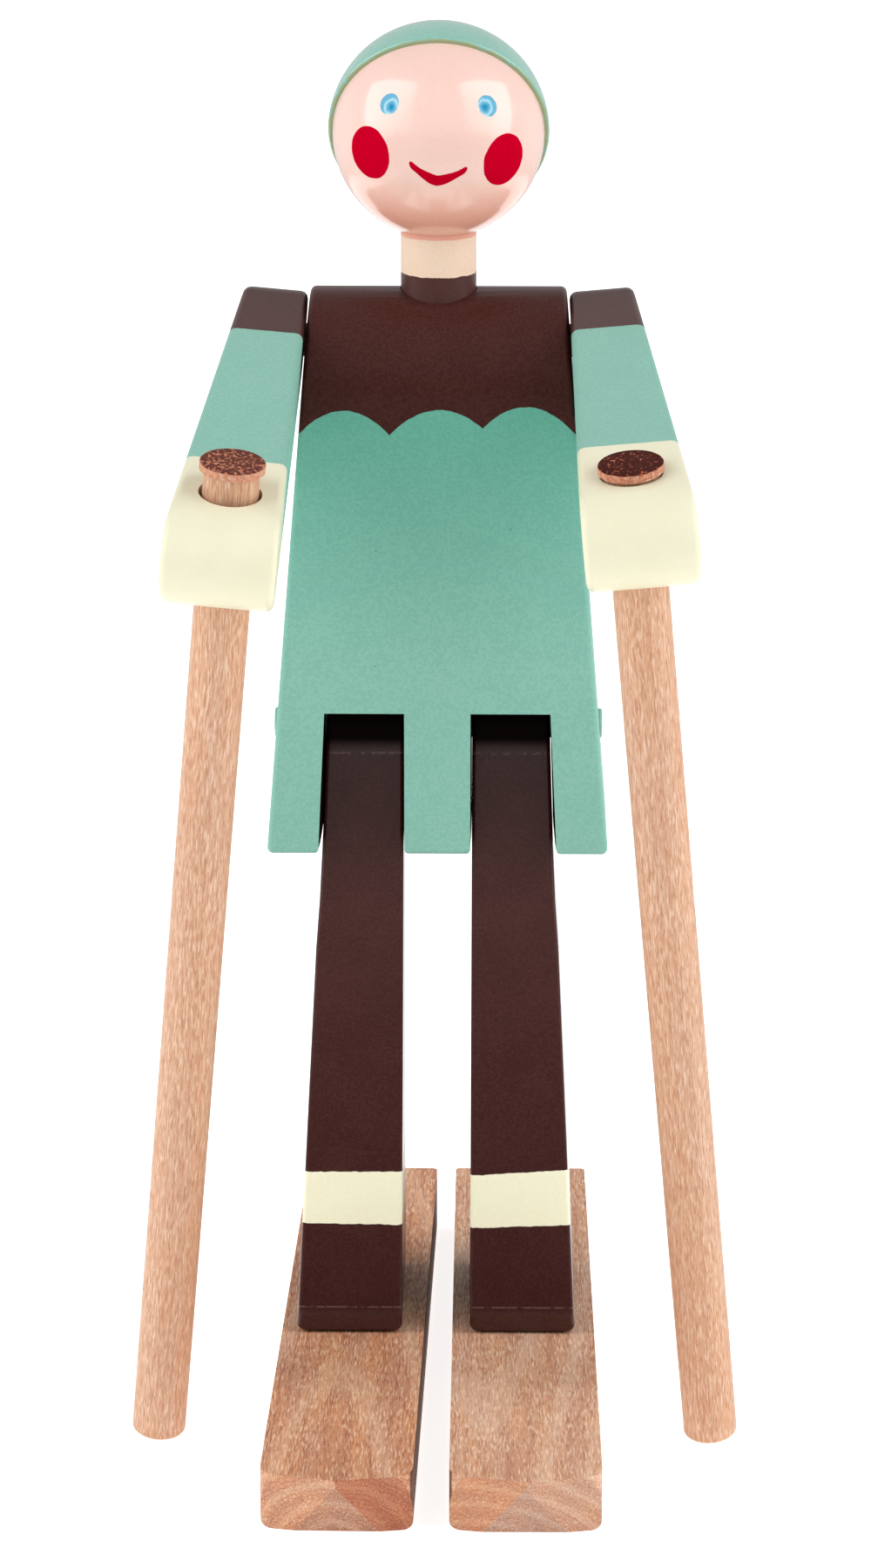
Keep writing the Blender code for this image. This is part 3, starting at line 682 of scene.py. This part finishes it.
def mouthMask(add, place):
    # a sagging stroke, thick in the middle and round at its ends
    half, sag = faceLook["mouthHalf"], faceLook["mouthSag"]
    patch = facePatch(add, faceLook["mouth"], (1.0, 1.0), faceLook["mouthTilt"])
    at = add("SeparateXYZ", patch).outputs
    out = add("ABSOLUTE", at["X"])
    share = add("DIVIDE", out, half)
    bent = add("POWER", share, faceLook["mouthBend"])
    line = add("MULTIPLY_ADD", bent, sag, -faceLook["mouthLift"] * sag)
    thick = add(
        "MapRange", {"Value": share, "From": faceLook["mouthTaper"], "To": faceLook["mouthThick"]}, **soft)
    past = add("MAXIMUM", add("SUBTRACT", out, half), 0.0)
    away = add("CombineXYZ", {"X": past, "Y": apart(add, at["Z"], line)})
    away = add("VectorMath", away, operation="LENGTH")
    stroke = add("SUBTRACT", thick, away)
    onFace = add("GREATER_THAN", at["Y"], -1.5)
    drawn = brushedEdge(add, place, stroke, wobble=0.07, blur=0.05)
    return add("MULTIPLY", drawn, onFace)


def eyePaint(add, eyeAt, dab):
    # light blue, with one darker dab of the brush and a pale curl round it
    fromDab = add("VectorMath", eyeAt, (dab[0], 0.0, dab[1]), operation="SUBTRACT")
    reach = add("VectorMath", fromDab, operation="LENGTH")
    swirl = add("TexNoise", {"Vector": eyeAt, "Scale": 1.1, "Detail": 2.0, "Distortion": 1.0})
    bent = add("MULTIPLY_ADD", swirl, 0.5, reach)
    dark = add("MapRange", {"Value": bent, "From": faceLook["eyeDark"]})
    curlAt, *curlEdge = faceLook["eyeCurl"]
    curl = add("MapRange", {"Value": apart(add, bent, curlAt), "From": curlEdge})
    ground, pale, deep = faceLook["eyeColours"]
    return overlaid(add, ground, (curl, pale), (dark, deep))


def headFinish():
    # turned beech under clear gloss: pink, warmer toward the chin as painted bounce light, with a green cap
    # whose paint thins to olive on its rim;
    # eyes, cheeks and mouth are dabbed on over the gloss and look duller
    finish, add, shader, place = startFinish("beechTurnedAndLacquered", headCentre)
    at = add("SeparateXYZ", place).outputs
    # painted bounce light: the face warms toward the chin
    paintedBounce = add("MapRange", {"Value": at["Z"], "From": faceLook["jaw"]})
    capPlace = add("Mapping", {"Vector": place, "Rotation": capTurn.to_euler()}, vector_type="TEXTURE")
    capAt = add("SeparateXYZ", capPlace).outputs
    lap = headLook["rimFromCentre"] - headLook["rimLap"]
    pastRim = add("SUBTRACT", capAt["Z"], lap)
    cap = brushedEdge(add, place, pastRim, wobble=0.06, blur=0.04)
    pastBand = add("SUBTRACT", pastRim, headLook["rimBand"])
    covered = brushedEdge(add, place, pastBand, wobble=0.3, blur=0.12)
    red, dull = paintCoat(add, place, "red")
    marks = [mouthMask(add, place)]
    coats = [
        (paintedBounce, *paintCoat(add, place, "jaw")),
        (cap, headLook["rimColour"], headLook["rimRoughness"]),
        (covered, paintCoat(add, place, "green")[0], headLook["capRoughness"]),
        (marks[0], red, dull)]
    for name in sides:
        cheek, _ = roundPatch(
            add, place, faceLook["cheeks"][name], faceLook["cheekHalf"], faceLook["cheekTilt"][name])
        eye, eyeAt = roundPatch(add, place, faceLook["eyes"][name], faceLook["eyeHalf"])
        coats += [(cheek, red, dull), (eye, eyePaint(add, eyeAt, faceLook["eyeDab"][name]), dull)]
        marks += [cheek, eye]
    tint, roughness = layered(add, paintCoat(add, place, "pink"), *coats)
    dabbed = highest(add, marks)
    shine, lacquer = (
        add("MapRange", {"Value": dabbed, "To": headLook[level]}) for level in ("shine", "lacquer"))
    relief = paintRelief(add, place, marks, headLook["ripple"], headLook["peel"])
    closeFinish(shader, tint, roughness, relief, shine, headLook["ior"])
    feedNode(shader, {"Coat Weight": lacquer, "Coat Roughness": headLook["lacquerRoughness"]})
    return finish


def headProfile():
    radius, capRadius = headLook["radius"], headLook["radius"] + headLook["capStep"]
    rim, rimRound = headLook["rimFromCentre"], headLook["rimRound"]
    capEnd = math.degrees(math.asin((rim + rimRound) / capRadius))
    faceStart = math.degrees(math.asin(rim / radius))
    profile = arcPoints((0, 0), capRadius, 90, capEnd, 3)
    rimCentre = (capRadius * math.cos(math.radians(capEnd)) - rimRound, rim + rimRound)
    profile += arcPoints(rimCentre, rimRound, 0, -90, 15)[1:]
    profile += arcPoints((0, 0), radius, faceStart, -90, 3)
    profile[0], profile[-1] = (0.0, capRadius), (0.0, -radius)
    return profile


def neckBore():
    form = bmesh.new()
    low, high = -2 * headLook["radius"], headLook["boreTop"]
    radius = headLook["boreRadius"] * mm
    bmesh.ops.create_cone(
        form, cap_ends=True, segments=96, radius1=radius, radius2=radius, depth=(high - low) * mm,
        matrix=Matrix.Translation(headCentre + Vector((0, 0, (low + high) / 2 * mm))))
    mesh = bpy.data.meshes.new("neckBore")
    form.to_mesh(mesh)
    form.free()
    return placed("neckBore", mesh)


head = turnedPiece(
    "headBall", headProfile(), Matrix.Translation(headCentre) @ capTurn, headFinish(),
    headLook["sides"], bore=neckBore())
handOver(head, "head", "head")
print("head done")


# Neck and hip pin: painted dowels
dowelLook = {
    "collarTop": 169.6,  # mm above the floor, where the yoke's brown ends on the neck
    "pinkFoot": 175.2,  # mm above the floor, where the face's pink ends on it
    "neckRadius": 5.66,  # mm
    "pinRadius": 2.25,  # mm
    "endRound": 0.35,  # mm
    "sides": 64}


def neckFinish():
    # beech dowel: satin cream, with the yoke's brown lapping up unevenly from below, lighter as painted
    # sheen, and pink from above, warmer as painted reflection of the chin
    finish, add, shader, place = startFinish("beechBrushedNeck")
    at = add("SeparateXYZ", place).outputs
    below = add("SUBTRACT", dowelLook["collarTop"], at["Z"])
    collar = brushedEdge(add, place, below, wobble=0.35)
    above = add("SUBTRACT", at["Z"], dowelLook["pinkFoot"])
    tint, roughness = layered(
        add, paintCoat(add, place, "skin"),
        # the face's pink laps down in the warmer tone: real paint, with painted reflection of the chin
        (brushedEdge(add, place, above, wobble=0.15), *paintCoat(add, place, "jaw")),
        # painted sheen: the collar's brown is lighter than the yoke's
        (collar, *paintCoat(add, place, "collar")))
    closeFinish(shader, tint, roughness, paintRelief(add, place, [collar]))
    return finish


def pinFinish():
    # end of a beech dowel, painted with the skirt
    finish, add, shader, place = startFinish("beechBrushedPin")
    tint, roughness = paintCoat(add, place, "green")
    closeFinish(shader, tint, roughness, paintRelief(add, place, []))
    return finish


def dowelProfile(radius, length):
    rounding = dowelLook["endRound"]
    profile = [(0.0, length)] + arcPoints((radius - rounding, length - rounding), rounding, 90, 0, 15)
    return profile + arcPoints((radius - rounding, rounding), rounding, 0, -90, 15) + [(0.0, 0.0)]


def dowelPiece(name, node, radius, axis, finish):
    low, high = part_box(node)
    length = (high - low).dot(axis)
    turn = axis.to_track_quat("Z", "Y").to_matrix().to_4x4()
    start = Matrix.Translation((low + high) / 2 - axis * length / 2) @ turn
    return turnedPiece(name, dowelProfile(radius, length / mm), start, finish, dowelLook["sides"])


handOver(
    dowelPiece("neckRod", "neck_dowel", dowelLook["neckRadius"], Vector((0, 0, 1)), neckFinish()),
    "torso", "neck_dowel")
handOver(
    dowelPiece("hipPinRod", "hip_pin", dowelLook["pinRadius"], Vector((1, 0, 0)), pinFinish()),
    "torso", "hip_pin")
print("neck and hip pin done")


# Bare hardwood: sizes in mm, with the grain along Z
woodLook = {
    "leftSki": {
        "base": "#CB9271", "warm": "#DA996B", "dark": "#9E5A40", "pale": "#EECAAA",
        "poreWidth": 0.21, "poreLength": 2.2, "figureSize": (5.0, 5.0, 30.0),
        "ringSpacing": 0.8, "pith": (0.5, -5.0), "ringDepth": 0.5, "roughness": 0.55,
        "arches": {"lean": 4.0, "spacing": 3.6, "pith": (-0.5, -7.0), "pale": 0.22, "dark": 0.15}},
    "rightSki": {
        "base": "#D4A385", "warm": "#DFA77F", "dark": "#AB6F54", "pale": "#F1D4BB",
        "poreWidth": 0.21, "poreLength": 2.2, "figureSize": (5.0, 5.0, 30.0),
        "ringSpacing": 0.9, "pith": (-1.0, -6.0), "ringDepth": 0.42, "roughness": 0.55,
        "arches": {"lean": -3.4, "spacing": 3.4, "pith": (-7.0, -9.0), "pale": 0.22, "dark": 0.14}},
    "pole": {
        "base": "#D3A88A", "warm": "#D6A582", "dark": "#B97F60", "pale": "#E8C9B0",
        "poreWidth": 0.2, "poreLength": 1.8, "figureSize": (3.0, 3.0, 40.0),
        "ringSpacing": 1.0, "pith": (-14.0, 6.0), "ringDepth": 0.38, "roughness": 0.55},
    "dowel": {
        "base": "#D9BE98", "warm": "#DDBF92", "dark": "#B8936A", "pale": "#E8D5B5",
        "poreWidth": 0.2, "poreLength": 1.5, "figureSize": (4.0, 4.0, 30.0),
        "ringSpacing": 1.8, "pith": (-20.0, 4.0), "ringDepth": 0.2, "roughness": 0.6}}
grainLook = {
    "wanderSize": (9.0, 9.0, 42.0),  # mm, how quickly the grain strays from straight
    "wander": 1.7,  # mm, how far it strays
    "streaks": {  # shift, size against a pore's, and levels of the noise where they start and are full
        "dark": (0.0, 1.0, (0.50, 0.68)),
        "pale": (31.0, 1.15, (0.50, 0.66)),
        "hair": (57.0, 0.6, (0.35, 0.65))},
    "strength": {"dark": 0.84, "pale": 0.82, "hair": 0.25},
    "figure": (0.38, 0.62),  # levels of the noise from the base colour to the warm one
    "late": (0.55, 1.0),  # shares of a ring, where its late wood darkens
    "arches": {"pale": (0.2, 1.0), "dark": (-0.35, -1.0)},  # levels of the wave
    "poreDepth": 0.03,  # mm
    "poreRoughness": 0.15}  # added in the pores


def fromPith(add, place, pith):
    # distance from the middle of the trunk, square to the grain
    off = add("VectorMath", place, (*pith, 0.0), operation="SUBTRACT")
    flat = add("VectorMath", off, (1.0, 1.0, 0.0), operation="MULTIPLY")
    return add("VectorMath", flat, operation="LENGTH")


def archBands(add, grainPlace, look):
    # flat-sawn boards: broad pale and dark arches where the rings lean out of the face
    arches = look["arches"]
    leaned = add("Mapping", {"Vector": grainPlace, "Rotation": (math.radians(arches["lean"]), 0.0, 0.0)})
    reach = fromPith(add, leaned, arches["pith"])
    wave = add("SINE", add("MULTIPLY", reach, math.tau / arches["spacing"]))
    bands = []
    for over, levels in grainLook["arches"].items():
        band = add("MapRange", {"Value": wave, "From": levels, "To Max": arches[over]}, **soft)
        bands.append((band, look[over]))
    return bands


def hardwood(add, place, look):
    # colour, roughness and relief of planed open-pored wood: short dark pores, pale rays, slow rings
    slow = add("Mapping", {"Vector": place, "Scale": [1 / size for size in grainLook["wanderSize"]]})
    stray = add("TexNoise", {"Vector": slow, "Scale": 1.0, "Detail": 2.0}).outputs["Color"]
    centred = add("VectorMath", stray, (0.5, 0.5, 0.5), operation="SUBTRACT")
    grainPlace = add(
        "VectorMath", centred, (grainLook["wander"], grainLook["wander"], 0.0), place,
        operation="MULTIPLY_ADD")

    width, length = look["poreWidth"], look["poreLength"]
    streaks = {}
    for label, (shift, size, levels) in grainLook["streaks"].items():
        fine = add(
            "Mapping",
            {"Vector": grainPlace, "Location": (shift, 0.0, 0.0),
             "Scale": (1 / (width * size), 1 / (width * size), 1 / (length * size))})
        noise = add("TexNoise", {"Vector": fine, "Scale": 1.0, "Detail": 2.0})
        streaks[label] = add("MapRange", {"Value": noise, "From": levels})

    broad = add("Mapping", {"Vector": grainPlace, "Scale": [1 / size for size in look["figureSize"]]})
    figure = add("TexNoise", {"Vector": broad, "Scale": 1.0, "Detail": 2.0})
    figured = add("MapRange", {"Value": figure, "From": grainLook["figure"]})
    ring = add("FRACT", add("DIVIDE", fromPith(add, grainPlace, look["pith"]), look["ringSpacing"]))
    late = add(
        "MapRange", {"Value": ring, "From": grainLook["late"], "To Max": look["ringDepth"]}, **soft)

    coats = [(figured, look["warm"]), (late, look["dark"])]
    for label, over in (("hair", "dark"), ("pale", "pale"), ("dark", "dark")):
        amount = add("MULTIPLY", streaks[label], grainLook["strength"][label])
        coats.append((amount, look[over]))
    if "arches" in look:
        coats += archBands(add, grainPlace, look)
    tint = overlaid(add, look["base"], *coats)

    depth = grainLook["poreDepth"]
    roughness = add("MULTIPLY_ADD", streaks["dark"], grainLook["poreRoughness"], look["roughness"])
    pits = add("MULTIPLY", streaks["dark"], -depth)
    height = add("MULTIPLY_ADD", streaks["hair"], 0.3 * depth, pits)
    relief = add("Bump", {"Height": height, "Distance": mm, "Strength": 1.0})
    return tint, roughness, relief


# Skis: sapele-like boards, sawn and sanded, with three facets cut under the nose
skiLook = {
    "toeOut": {"left": 1.0, "right": 0.4},  # degrees
    "sweep": 11.3,  # degrees, side facets turned outward
    "undercut": (21.4, 28.5),  # degrees below level, side facets and middle facet
    "facetReach": 12.0,  # degrees from these, within which a face counts as a facet
    "facetGrainAndLight": {  # outer, middle and inner facet, against the top: end grain that takes colour differently, and painted light and shade per facet
        "left": ("#FBFBFA", "#E2E6EC", "#DCBAA9"),
        "right": ("#EFEEED", "#DCDFE6", "#EEDCCB")},
    "sidePaintedShade": "#96867C"}  # inner sides, darkened as painted shade between the skis


def facetSkis(board, name):
    # marks each face as outer, middle or inner facet of the nose, as inner side, or none
    side, sweep = sides[name], skiLook["sweep"]
    steep, keel = skiLook["undercut"]
    facets = []
    for swing, undercut in ((side * sweep, steep), (0.0, keel), (-side * sweep, steep)):
        turn = Euler((math.radians(undercut), 0.0, math.radians(swing + side * skiLook["toeOut"][name])))
        facets.append(turn.to_matrix() @ Vector((0.0, -1.0, 0.0)))
    marks = board.data.attributes.new("facet", "FLOAT_COLOR", "FACE")
    for face, mark in zip(board.data.polygons, marks.data):
        near = [face.normal.angle(facet) for facet in facets]
        closest = near.index(min(near))
        found = min(near) < math.radians(skiLook["facetReach"])
        mark.color = [float(found and i == closest) for i in range(3)] + [0.0]
        # the inner sides get painted shade
        mark.color[3] = float(-side * face.normal.x > 0.9)


def skiFinish(name):
    # pinkish brown open-pored hardwood: fine broken lines on top, dots and ring arcs where the nose is cut
    low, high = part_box(name + "_ski")
    middle = (low + high) / 2
    turn = (Matrix.Rotation(math.radians(sides[name] * skiLook["toeOut"][name]), 4, "Z")
            @ Matrix.Rotation(math.radians(90), 4, "X"))
    finish, add, shader, place = startFinish(
        "sapeleSawnAndSanded." + name, (middle.x, middle.y, 0.0), turn.to_euler())
    tint, roughness, relief = hardwood(add, place, woodLook[name + "Ski"])
    marks = add("Attribute", attribute_name="facet").outputs
    facets = add("SeparateColor", marks["Color"])
    # the nose's facets are tinted one by one: partly end grain, partly painted light and shade
    shades = zip(facets.outputs, skiLook["facetGrainAndLight"][name])
    tint = overlaid(add, tint, *shades, (marks["Alpha"], skiLook["sidePaintedShade"]), blend="MULTIPLY")
    closeFinish(shader, tint, roughness, relief)
    return finish


for name in sides:
    board = carvedPiece(name + "SkiBoard", name + "_ski", skiFinish(name), crispAngle=4)
    facetSkis(board, name)
    handOver(board, name + "_leg", name + "_ski")
print("skis done")


# Poles: turned dowels with a wider head, stained brown on its end
poleLook = {
    "radius": 3.99,  # mm
    "headOverhang": 0.65,  # mm
    "headHeight": 1.3,  # mm
    "headEdge": 0.35,  # mm
    "headHollow": 0.6,  # mm, under the head
    "tipRound": 0.7,  # mm
    "stainDepth": 0.22,  # mm from the end
    "stainAndShade": {"left": "#60322A", "right": "#401610"},
    "stainRoughness": 0.7,
    "shine": (0.5, 0.1),  # specular level on the rod and on the stained end
    "fleckSize": 0.5,  # mm
    "bareFrom": {"left": 0.62, "right": 0.69},  # level of the noise above which the end stays bare
    "headColour": "#C06A4B",
    "headRoughness": 0.5,
    "redness": {"left": 0.7, "right": 1.0},  # of the head's side, at most
    "redFrom": (0.35, 0.6),  # levels of the noise, from none to most
    "sides": 64}


def poleFrame(name):
    # foot, axis and length of a pole, from its slide joint and its node
    axis = Vector(joints[name + "_pole_slide"]["axis"]).normalized()
    points = {tuple(round(c / mm, 3) for c in v.co) for v in frame["nodes"][name + "_pole"].data.vertices}
    middle = sum((Vector(point) for point in points), Vector()) * mm / len(points)
    heights = [Vector(point).dot(axis) * mm for point in points]
    foot = middle + axis * (min(heights) - middle.dot(axis))
    return foot, axis.to_track_quat("Z", "Y"), max(heights) - min(heights)


def poleFinish(name, foot, turn, length):
    # pale turned hardwood, short reddish dashes along the grain; the end grain drinks a dark stain unevenly
    finish, add, shader, place = startFinish("sapeleTurnedRod." + name, foot, turn.to_euler())
    tint, roughness, relief = hardwood(add, place, woodLook["pole"])
    at = add("SeparateXYZ", place).outputs
    ends = []
    for depth, wobble in ((poleLook["stainDepth"], 0.15), (poleLook["headHeight"], 0.6)):
        past = add("SUBTRACT", at["Z"], length / mm - depth)
        ends.append(brushedEdge(add, place, past, wobble=wobble, blur=0.08))
    flecks = add("TexNoise", {"Vector": place, "Scale": 1 / poleLook["fleckSize"], "Detail": 2.0})
    bareFrom = poleLook["bareFrom"][name]
    soaked = add("MapRange", {"Value": flecks, "From": (bareFrom, bareFrom - 0.1)})
    stained = add("MULTIPLY", ends[0], soaked)
    blotches = add(
        "MapRange", {"Value": flecks, "From": poleLook["redFrom"], "To Max": poleLook["redness"][name]})
    reddened = add("MULTIPLY", ends[1], blotches)
    tint, roughness = layered(
        add, (tint, roughness), (reddened, poleLook["headColour"], poleLook["headRoughness"]),
        (stained, poleLook["stainAndShade"][name], poleLook["stainRoughness"]))
    shine = add("MapRange", {"Value": ends[0], "To": poleLook["shine"]})
    closeFinish(shader, tint, roughness, relief, shine)
    return finish


def poleProfile(length):
    radius = poleLook["radius"]
    headRadius = radius + poleLook["headOverhang"]
    edge, hollow, tip = poleLook["headEdge"], poleLook["headHollow"], poleLook["tipRound"]
    headLow = length - poleLook["headHeight"]
    profile = [(0.0, length)] + arcPoints((headRadius - edge, length - edge), edge, 90, 0, 15)
    profile += [(headRadius, headLow)] + arcPoints((radius + hollow, headLow - hollow), hollow, 90, 180, 15)
    return profile + arcPoints((radius - tip, tip), tip, 0, -90, 10) + [(0.0, 0.0)]


for name in sides:
    foot, turn, length = poleFrame(name)
    rod = turnedPiece(
        name + "PoleRod", poleProfile(length / mm), Matrix.Translation(foot) @ turn.to_matrix().to_4x4(),
        poleFinish(name, foot, turn, length), poleLook["sides"], sharpAngle=60)
    handOver(rod, name + "_pole", name + "_pole")
print("poles done")


# Pegs and foot dowels stay as the CAD has them, hidden in their bores
def dowelFinish(name, axis):
    # bare beech dowel, as sold: straight grain with small flecks
    low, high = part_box(name)
    turn = axis.to_track_quat("Z", "Y").to_euler()
    finish, add, shader, place = startFinish("beechDowel." + name, (low + high) / 2, turn)
    tint, roughness, relief = hardwood(add, place, woodLook["dowel"])
    closeFinish(shader, tint, roughness, relief)
    return finish


for name in sides:
    hidden = {name + "_shoulder_peg": Vector(joints[name + "_shoulder"]["axis"])}
    for part in ("front", "rear"):
        hidden[name + "_foot_" + part + "_dowel"] = Vector((0, 0, 1))
    for node, axis in hidden.items():
        frame["nodes"][node].material_slots[0].material = dowelFinish(node, axis)
print("pegs and dowels done")


# Floor, light and camera
studio = {
    "floorSize": 30.0,  # m
    "floorColour": "#F4F4F3",
    "floorDrop": 0.02,  # mm below the skis
    "floorGlow": 0.50,  # light that the paper passes from below
    "nearGlow": 0.80,  # the same as seen near the figure, low enough to keep the shadow
    "whiteReach": (0.2, 0.9),  # m from the figure, where the paper turns to plain white in the view
    "ambient": 0.36,
    "boxLevel": 3.2,  # brightness of a soft box's face
    "boxSize": (0.77, 0.74),  # m
    "boxPlace": (0.582, -0.253, 0.515),  # m, right box; the left one mirrors it
    "boxAlong": (-0.559, -0.750, 0.354),  # its long side, up toward the camera
    "boxUp": (-0.186, 0.529, 0.829),
    "boxFade": (0.10, 1.0),  # share of light left at its corner nearest the camera, and past boxFull
    "boxFull": 1.2,  # box widths from that corner
    "tentRadius": 1.4,  # m
    "tentSides": 48,
    "tentStep": 6,  # degrees between its rings
    "tentHole": (0.30, 0.18),  # m, radius of the white paper seen in gloss, and how far back its middle is
    "tentRise": (0.31, 0.43),  # m above the floor, where the tent turns from dark to pale
    "tentBack": (-0.10, 0.50),  # m behind the figure, where it does so too
    "tentPale": 0.70,
    "paperFade": (0.15, 0.65)}  # m from the figure, how far white paper is seen in gloss
white, black = "#FFFFFF", "#000000"


def seenDirectly(add):
    # 1 for rays that show the background itself, and 0 for those that only light the object
    path = add("LightPath").outputs
    return highest(add, [path["Is " + kind + " Ray"] for kind in ("Camera", "Glossy", "Transmission")])


def stagePiece(name, points, faces, finish):
    mesh = bpy.data.meshes.new(name)
    mesh.from_pydata(points, [], faces)
    mesh.materials.append(finish)
    piece = placed(name, mesh)
    return piece


def paperFloor():
    reach = studio["floorSize"] / 2
    corners = [(-reach, -reach, 0.0), (reach, -reach, 0.0), (reach, reach, 0.0), (-reach, reach, 0.0)]
    paper, add, shader, place = startFinish("whiteStudioPaper")
    away = add("VectorMath", place, operation="LENGTH")
    seen = add(
        "MapRange",
        {"Value": away, "From": [edge / mm for edge in studio["whiteReach"]], "To Min": studio["nearGlow"]},
        **soft)
    glow = add("Mix", {"Factor": seenDirectly(add), "A": studio["floorGlow"], "B": seen})
    feedNode(shader, {
        "Base Color": studio["floorColour"], "Roughness": 0.9, "Specular IOR Level": 0.0,
        "Emission Color": white, "Emission Strength": glow})
    floor = stagePiece("paperFloor", corners, [(0, 1, 2, 3)], paper)
    floor.location.z = -studio["floorDrop"] * mm


def greyTent():
    # seen only in gloss: dark round the white paper and toward the camera, pale overhead and behind
    cloth, add, shader, place = startFinish("greyTentCloth")
    at = add("SeparateXYZ", place).outputs
    fades = []
    for axis, reach in (("Z", studio["tentRise"]), ("Y", studio["tentBack"])):
        fades.append(add(
            "MapRange",
            {"Value": at[axis], "From": [edge / mm for edge in reach], "To Max": studio["tentPale"]},
            **soft))
    away = add("VectorMath", place, operation="LENGTH")
    fades.append(add(
        "MapRange",
        {"Value": away, "From": [edge / mm for edge in studio["paperFade"]], "To": (1.0, 0.0)}))
    feedNode(shader, {
        "Base Color": black, "Specular IOR Level": 0.0, "Emission Color": white,
        "Emission Strength": highest(add, fades)})
    radius, count = studio["tentRadius"], studio["tentSides"]
    rings = [(*studio["tentHole"], mm)]
    for rise in range(0, 90, studio["tentStep"]):
        turn = math.radians(rise)
        rings.append((radius * math.cos(turn), 0.0, radius * math.sin(turn) + mm))
    points = []
    for ringRadius, back, height in rings:
        for swing in (math.tau * i / count for i in range(count)):
            points.append((ringRadius * math.sin(swing), back - ringRadius * math.cos(swing), height))
    faces = []
    for low in range(0, count * (len(rings) - 1), count):
        high = low + count
        faces += [(low + i, low + (i + 1) % count, high + (i + 1) % count, high + i) for i in range(count)]
    faces.append(tuple(range(count * (len(rings) - 1), count * len(rings))))
    tent = stagePiece("greyTent", points, faces, cloth)
    for kind in ("camera", "diffuse", "transmission", "shadow", "volume_scatter"):
        setattr(tent, "visible_" + kind, False)


def whiteRoom():
    world = bpy.data.worlds.new("whiteRoom")
    world.use_nodes = True
    bpy.context.scene.world = world
    tree = world.node_tree
    add = partial(addNode, tree)
    strength = add("Mix", {"Factor": seenDirectly(add), "A": studio["ambient"], "B": 1.0})
    feedNode(tree.nodes["Background"], {"Color": white, "Strength": strength})


def softBoxes():
    # two large boxes, left and right and above, each weaker toward its corner nearest the camera
    width, height = studio["boxSize"]
    for name, side in sides.items():
        mirror = Vector((side, 1.0, 1.0))
        along = Vector(studio["boxAlong"]) * mirror * -side
        up = Vector(studio["boxUp"]) * mirror
        lamp = bpy.data.lights.new(name + "SoftBox", "AREA")
        lamp.shape = "RECTANGLE"
        lamp.size, lamp.size_y = width, height
        lamp.energy = studio["boxLevel"] * math.pi * width * height
        lamp.use_nodes = True
        tree = lamp.node_tree
        add = partial(addNode, tree)
        onBox = add("NewGeometry").outputs["Parametric"]
        at = add("SeparateXYZ", onBox).outputs
        share = add("MULTIPLY_ADD", at["X"], side, at["Y"])
        corner = min(0.0, side)
        fade = add(
            "MapRange",
            {"Value": share, "From": (corner, corner + studio["boxFull"]), "To": studio["boxFade"]})
        feedNode(tree.nodes["Emission"], {"Strength": fade})
        box = placed(name + "SoftBox", lamp)
        turn = Matrix((along, up, along.cross(up))).transposed().to_4x4()
        box.matrix_world = Matrix.Translation(Vector(studio["boxPlace"]) * mirror) @ turn
        box.visible_camera = False


cameraLook = {
    "place": (0.011826, -0.814905, 0.334662),  # m
    "down": 16.369,  # degrees below level
    "swing": 0.844,  # degrees
    "sensor": 36.0,  # mm, for the height of the image
    "lens": 129.98}  # mm


def photoCamera():
    lens = bpy.data.cameras.new("photoCamera")
    lens.sensor_fit = "VERTICAL"
    lens.sensor_height = cameraLook["sensor"]
    lens.lens = cameraLook["lens"]
    lens.clip_start = 0.01
    camera = placed("photoCamera", lens)
    camera.location = cameraLook["place"]
    camera.rotation_euler = [math.radians(a) for a in (90 - cameraLook["down"], 0.0, cameraLook["swing"])]
    bpy.context.scene.camera = camera


paperFloor()
greyTent()
whiteRoom()
softBoxes()
photoCamera()
bpy.context.scene.view_settings.view_transform = "Standard"
print("studio done")
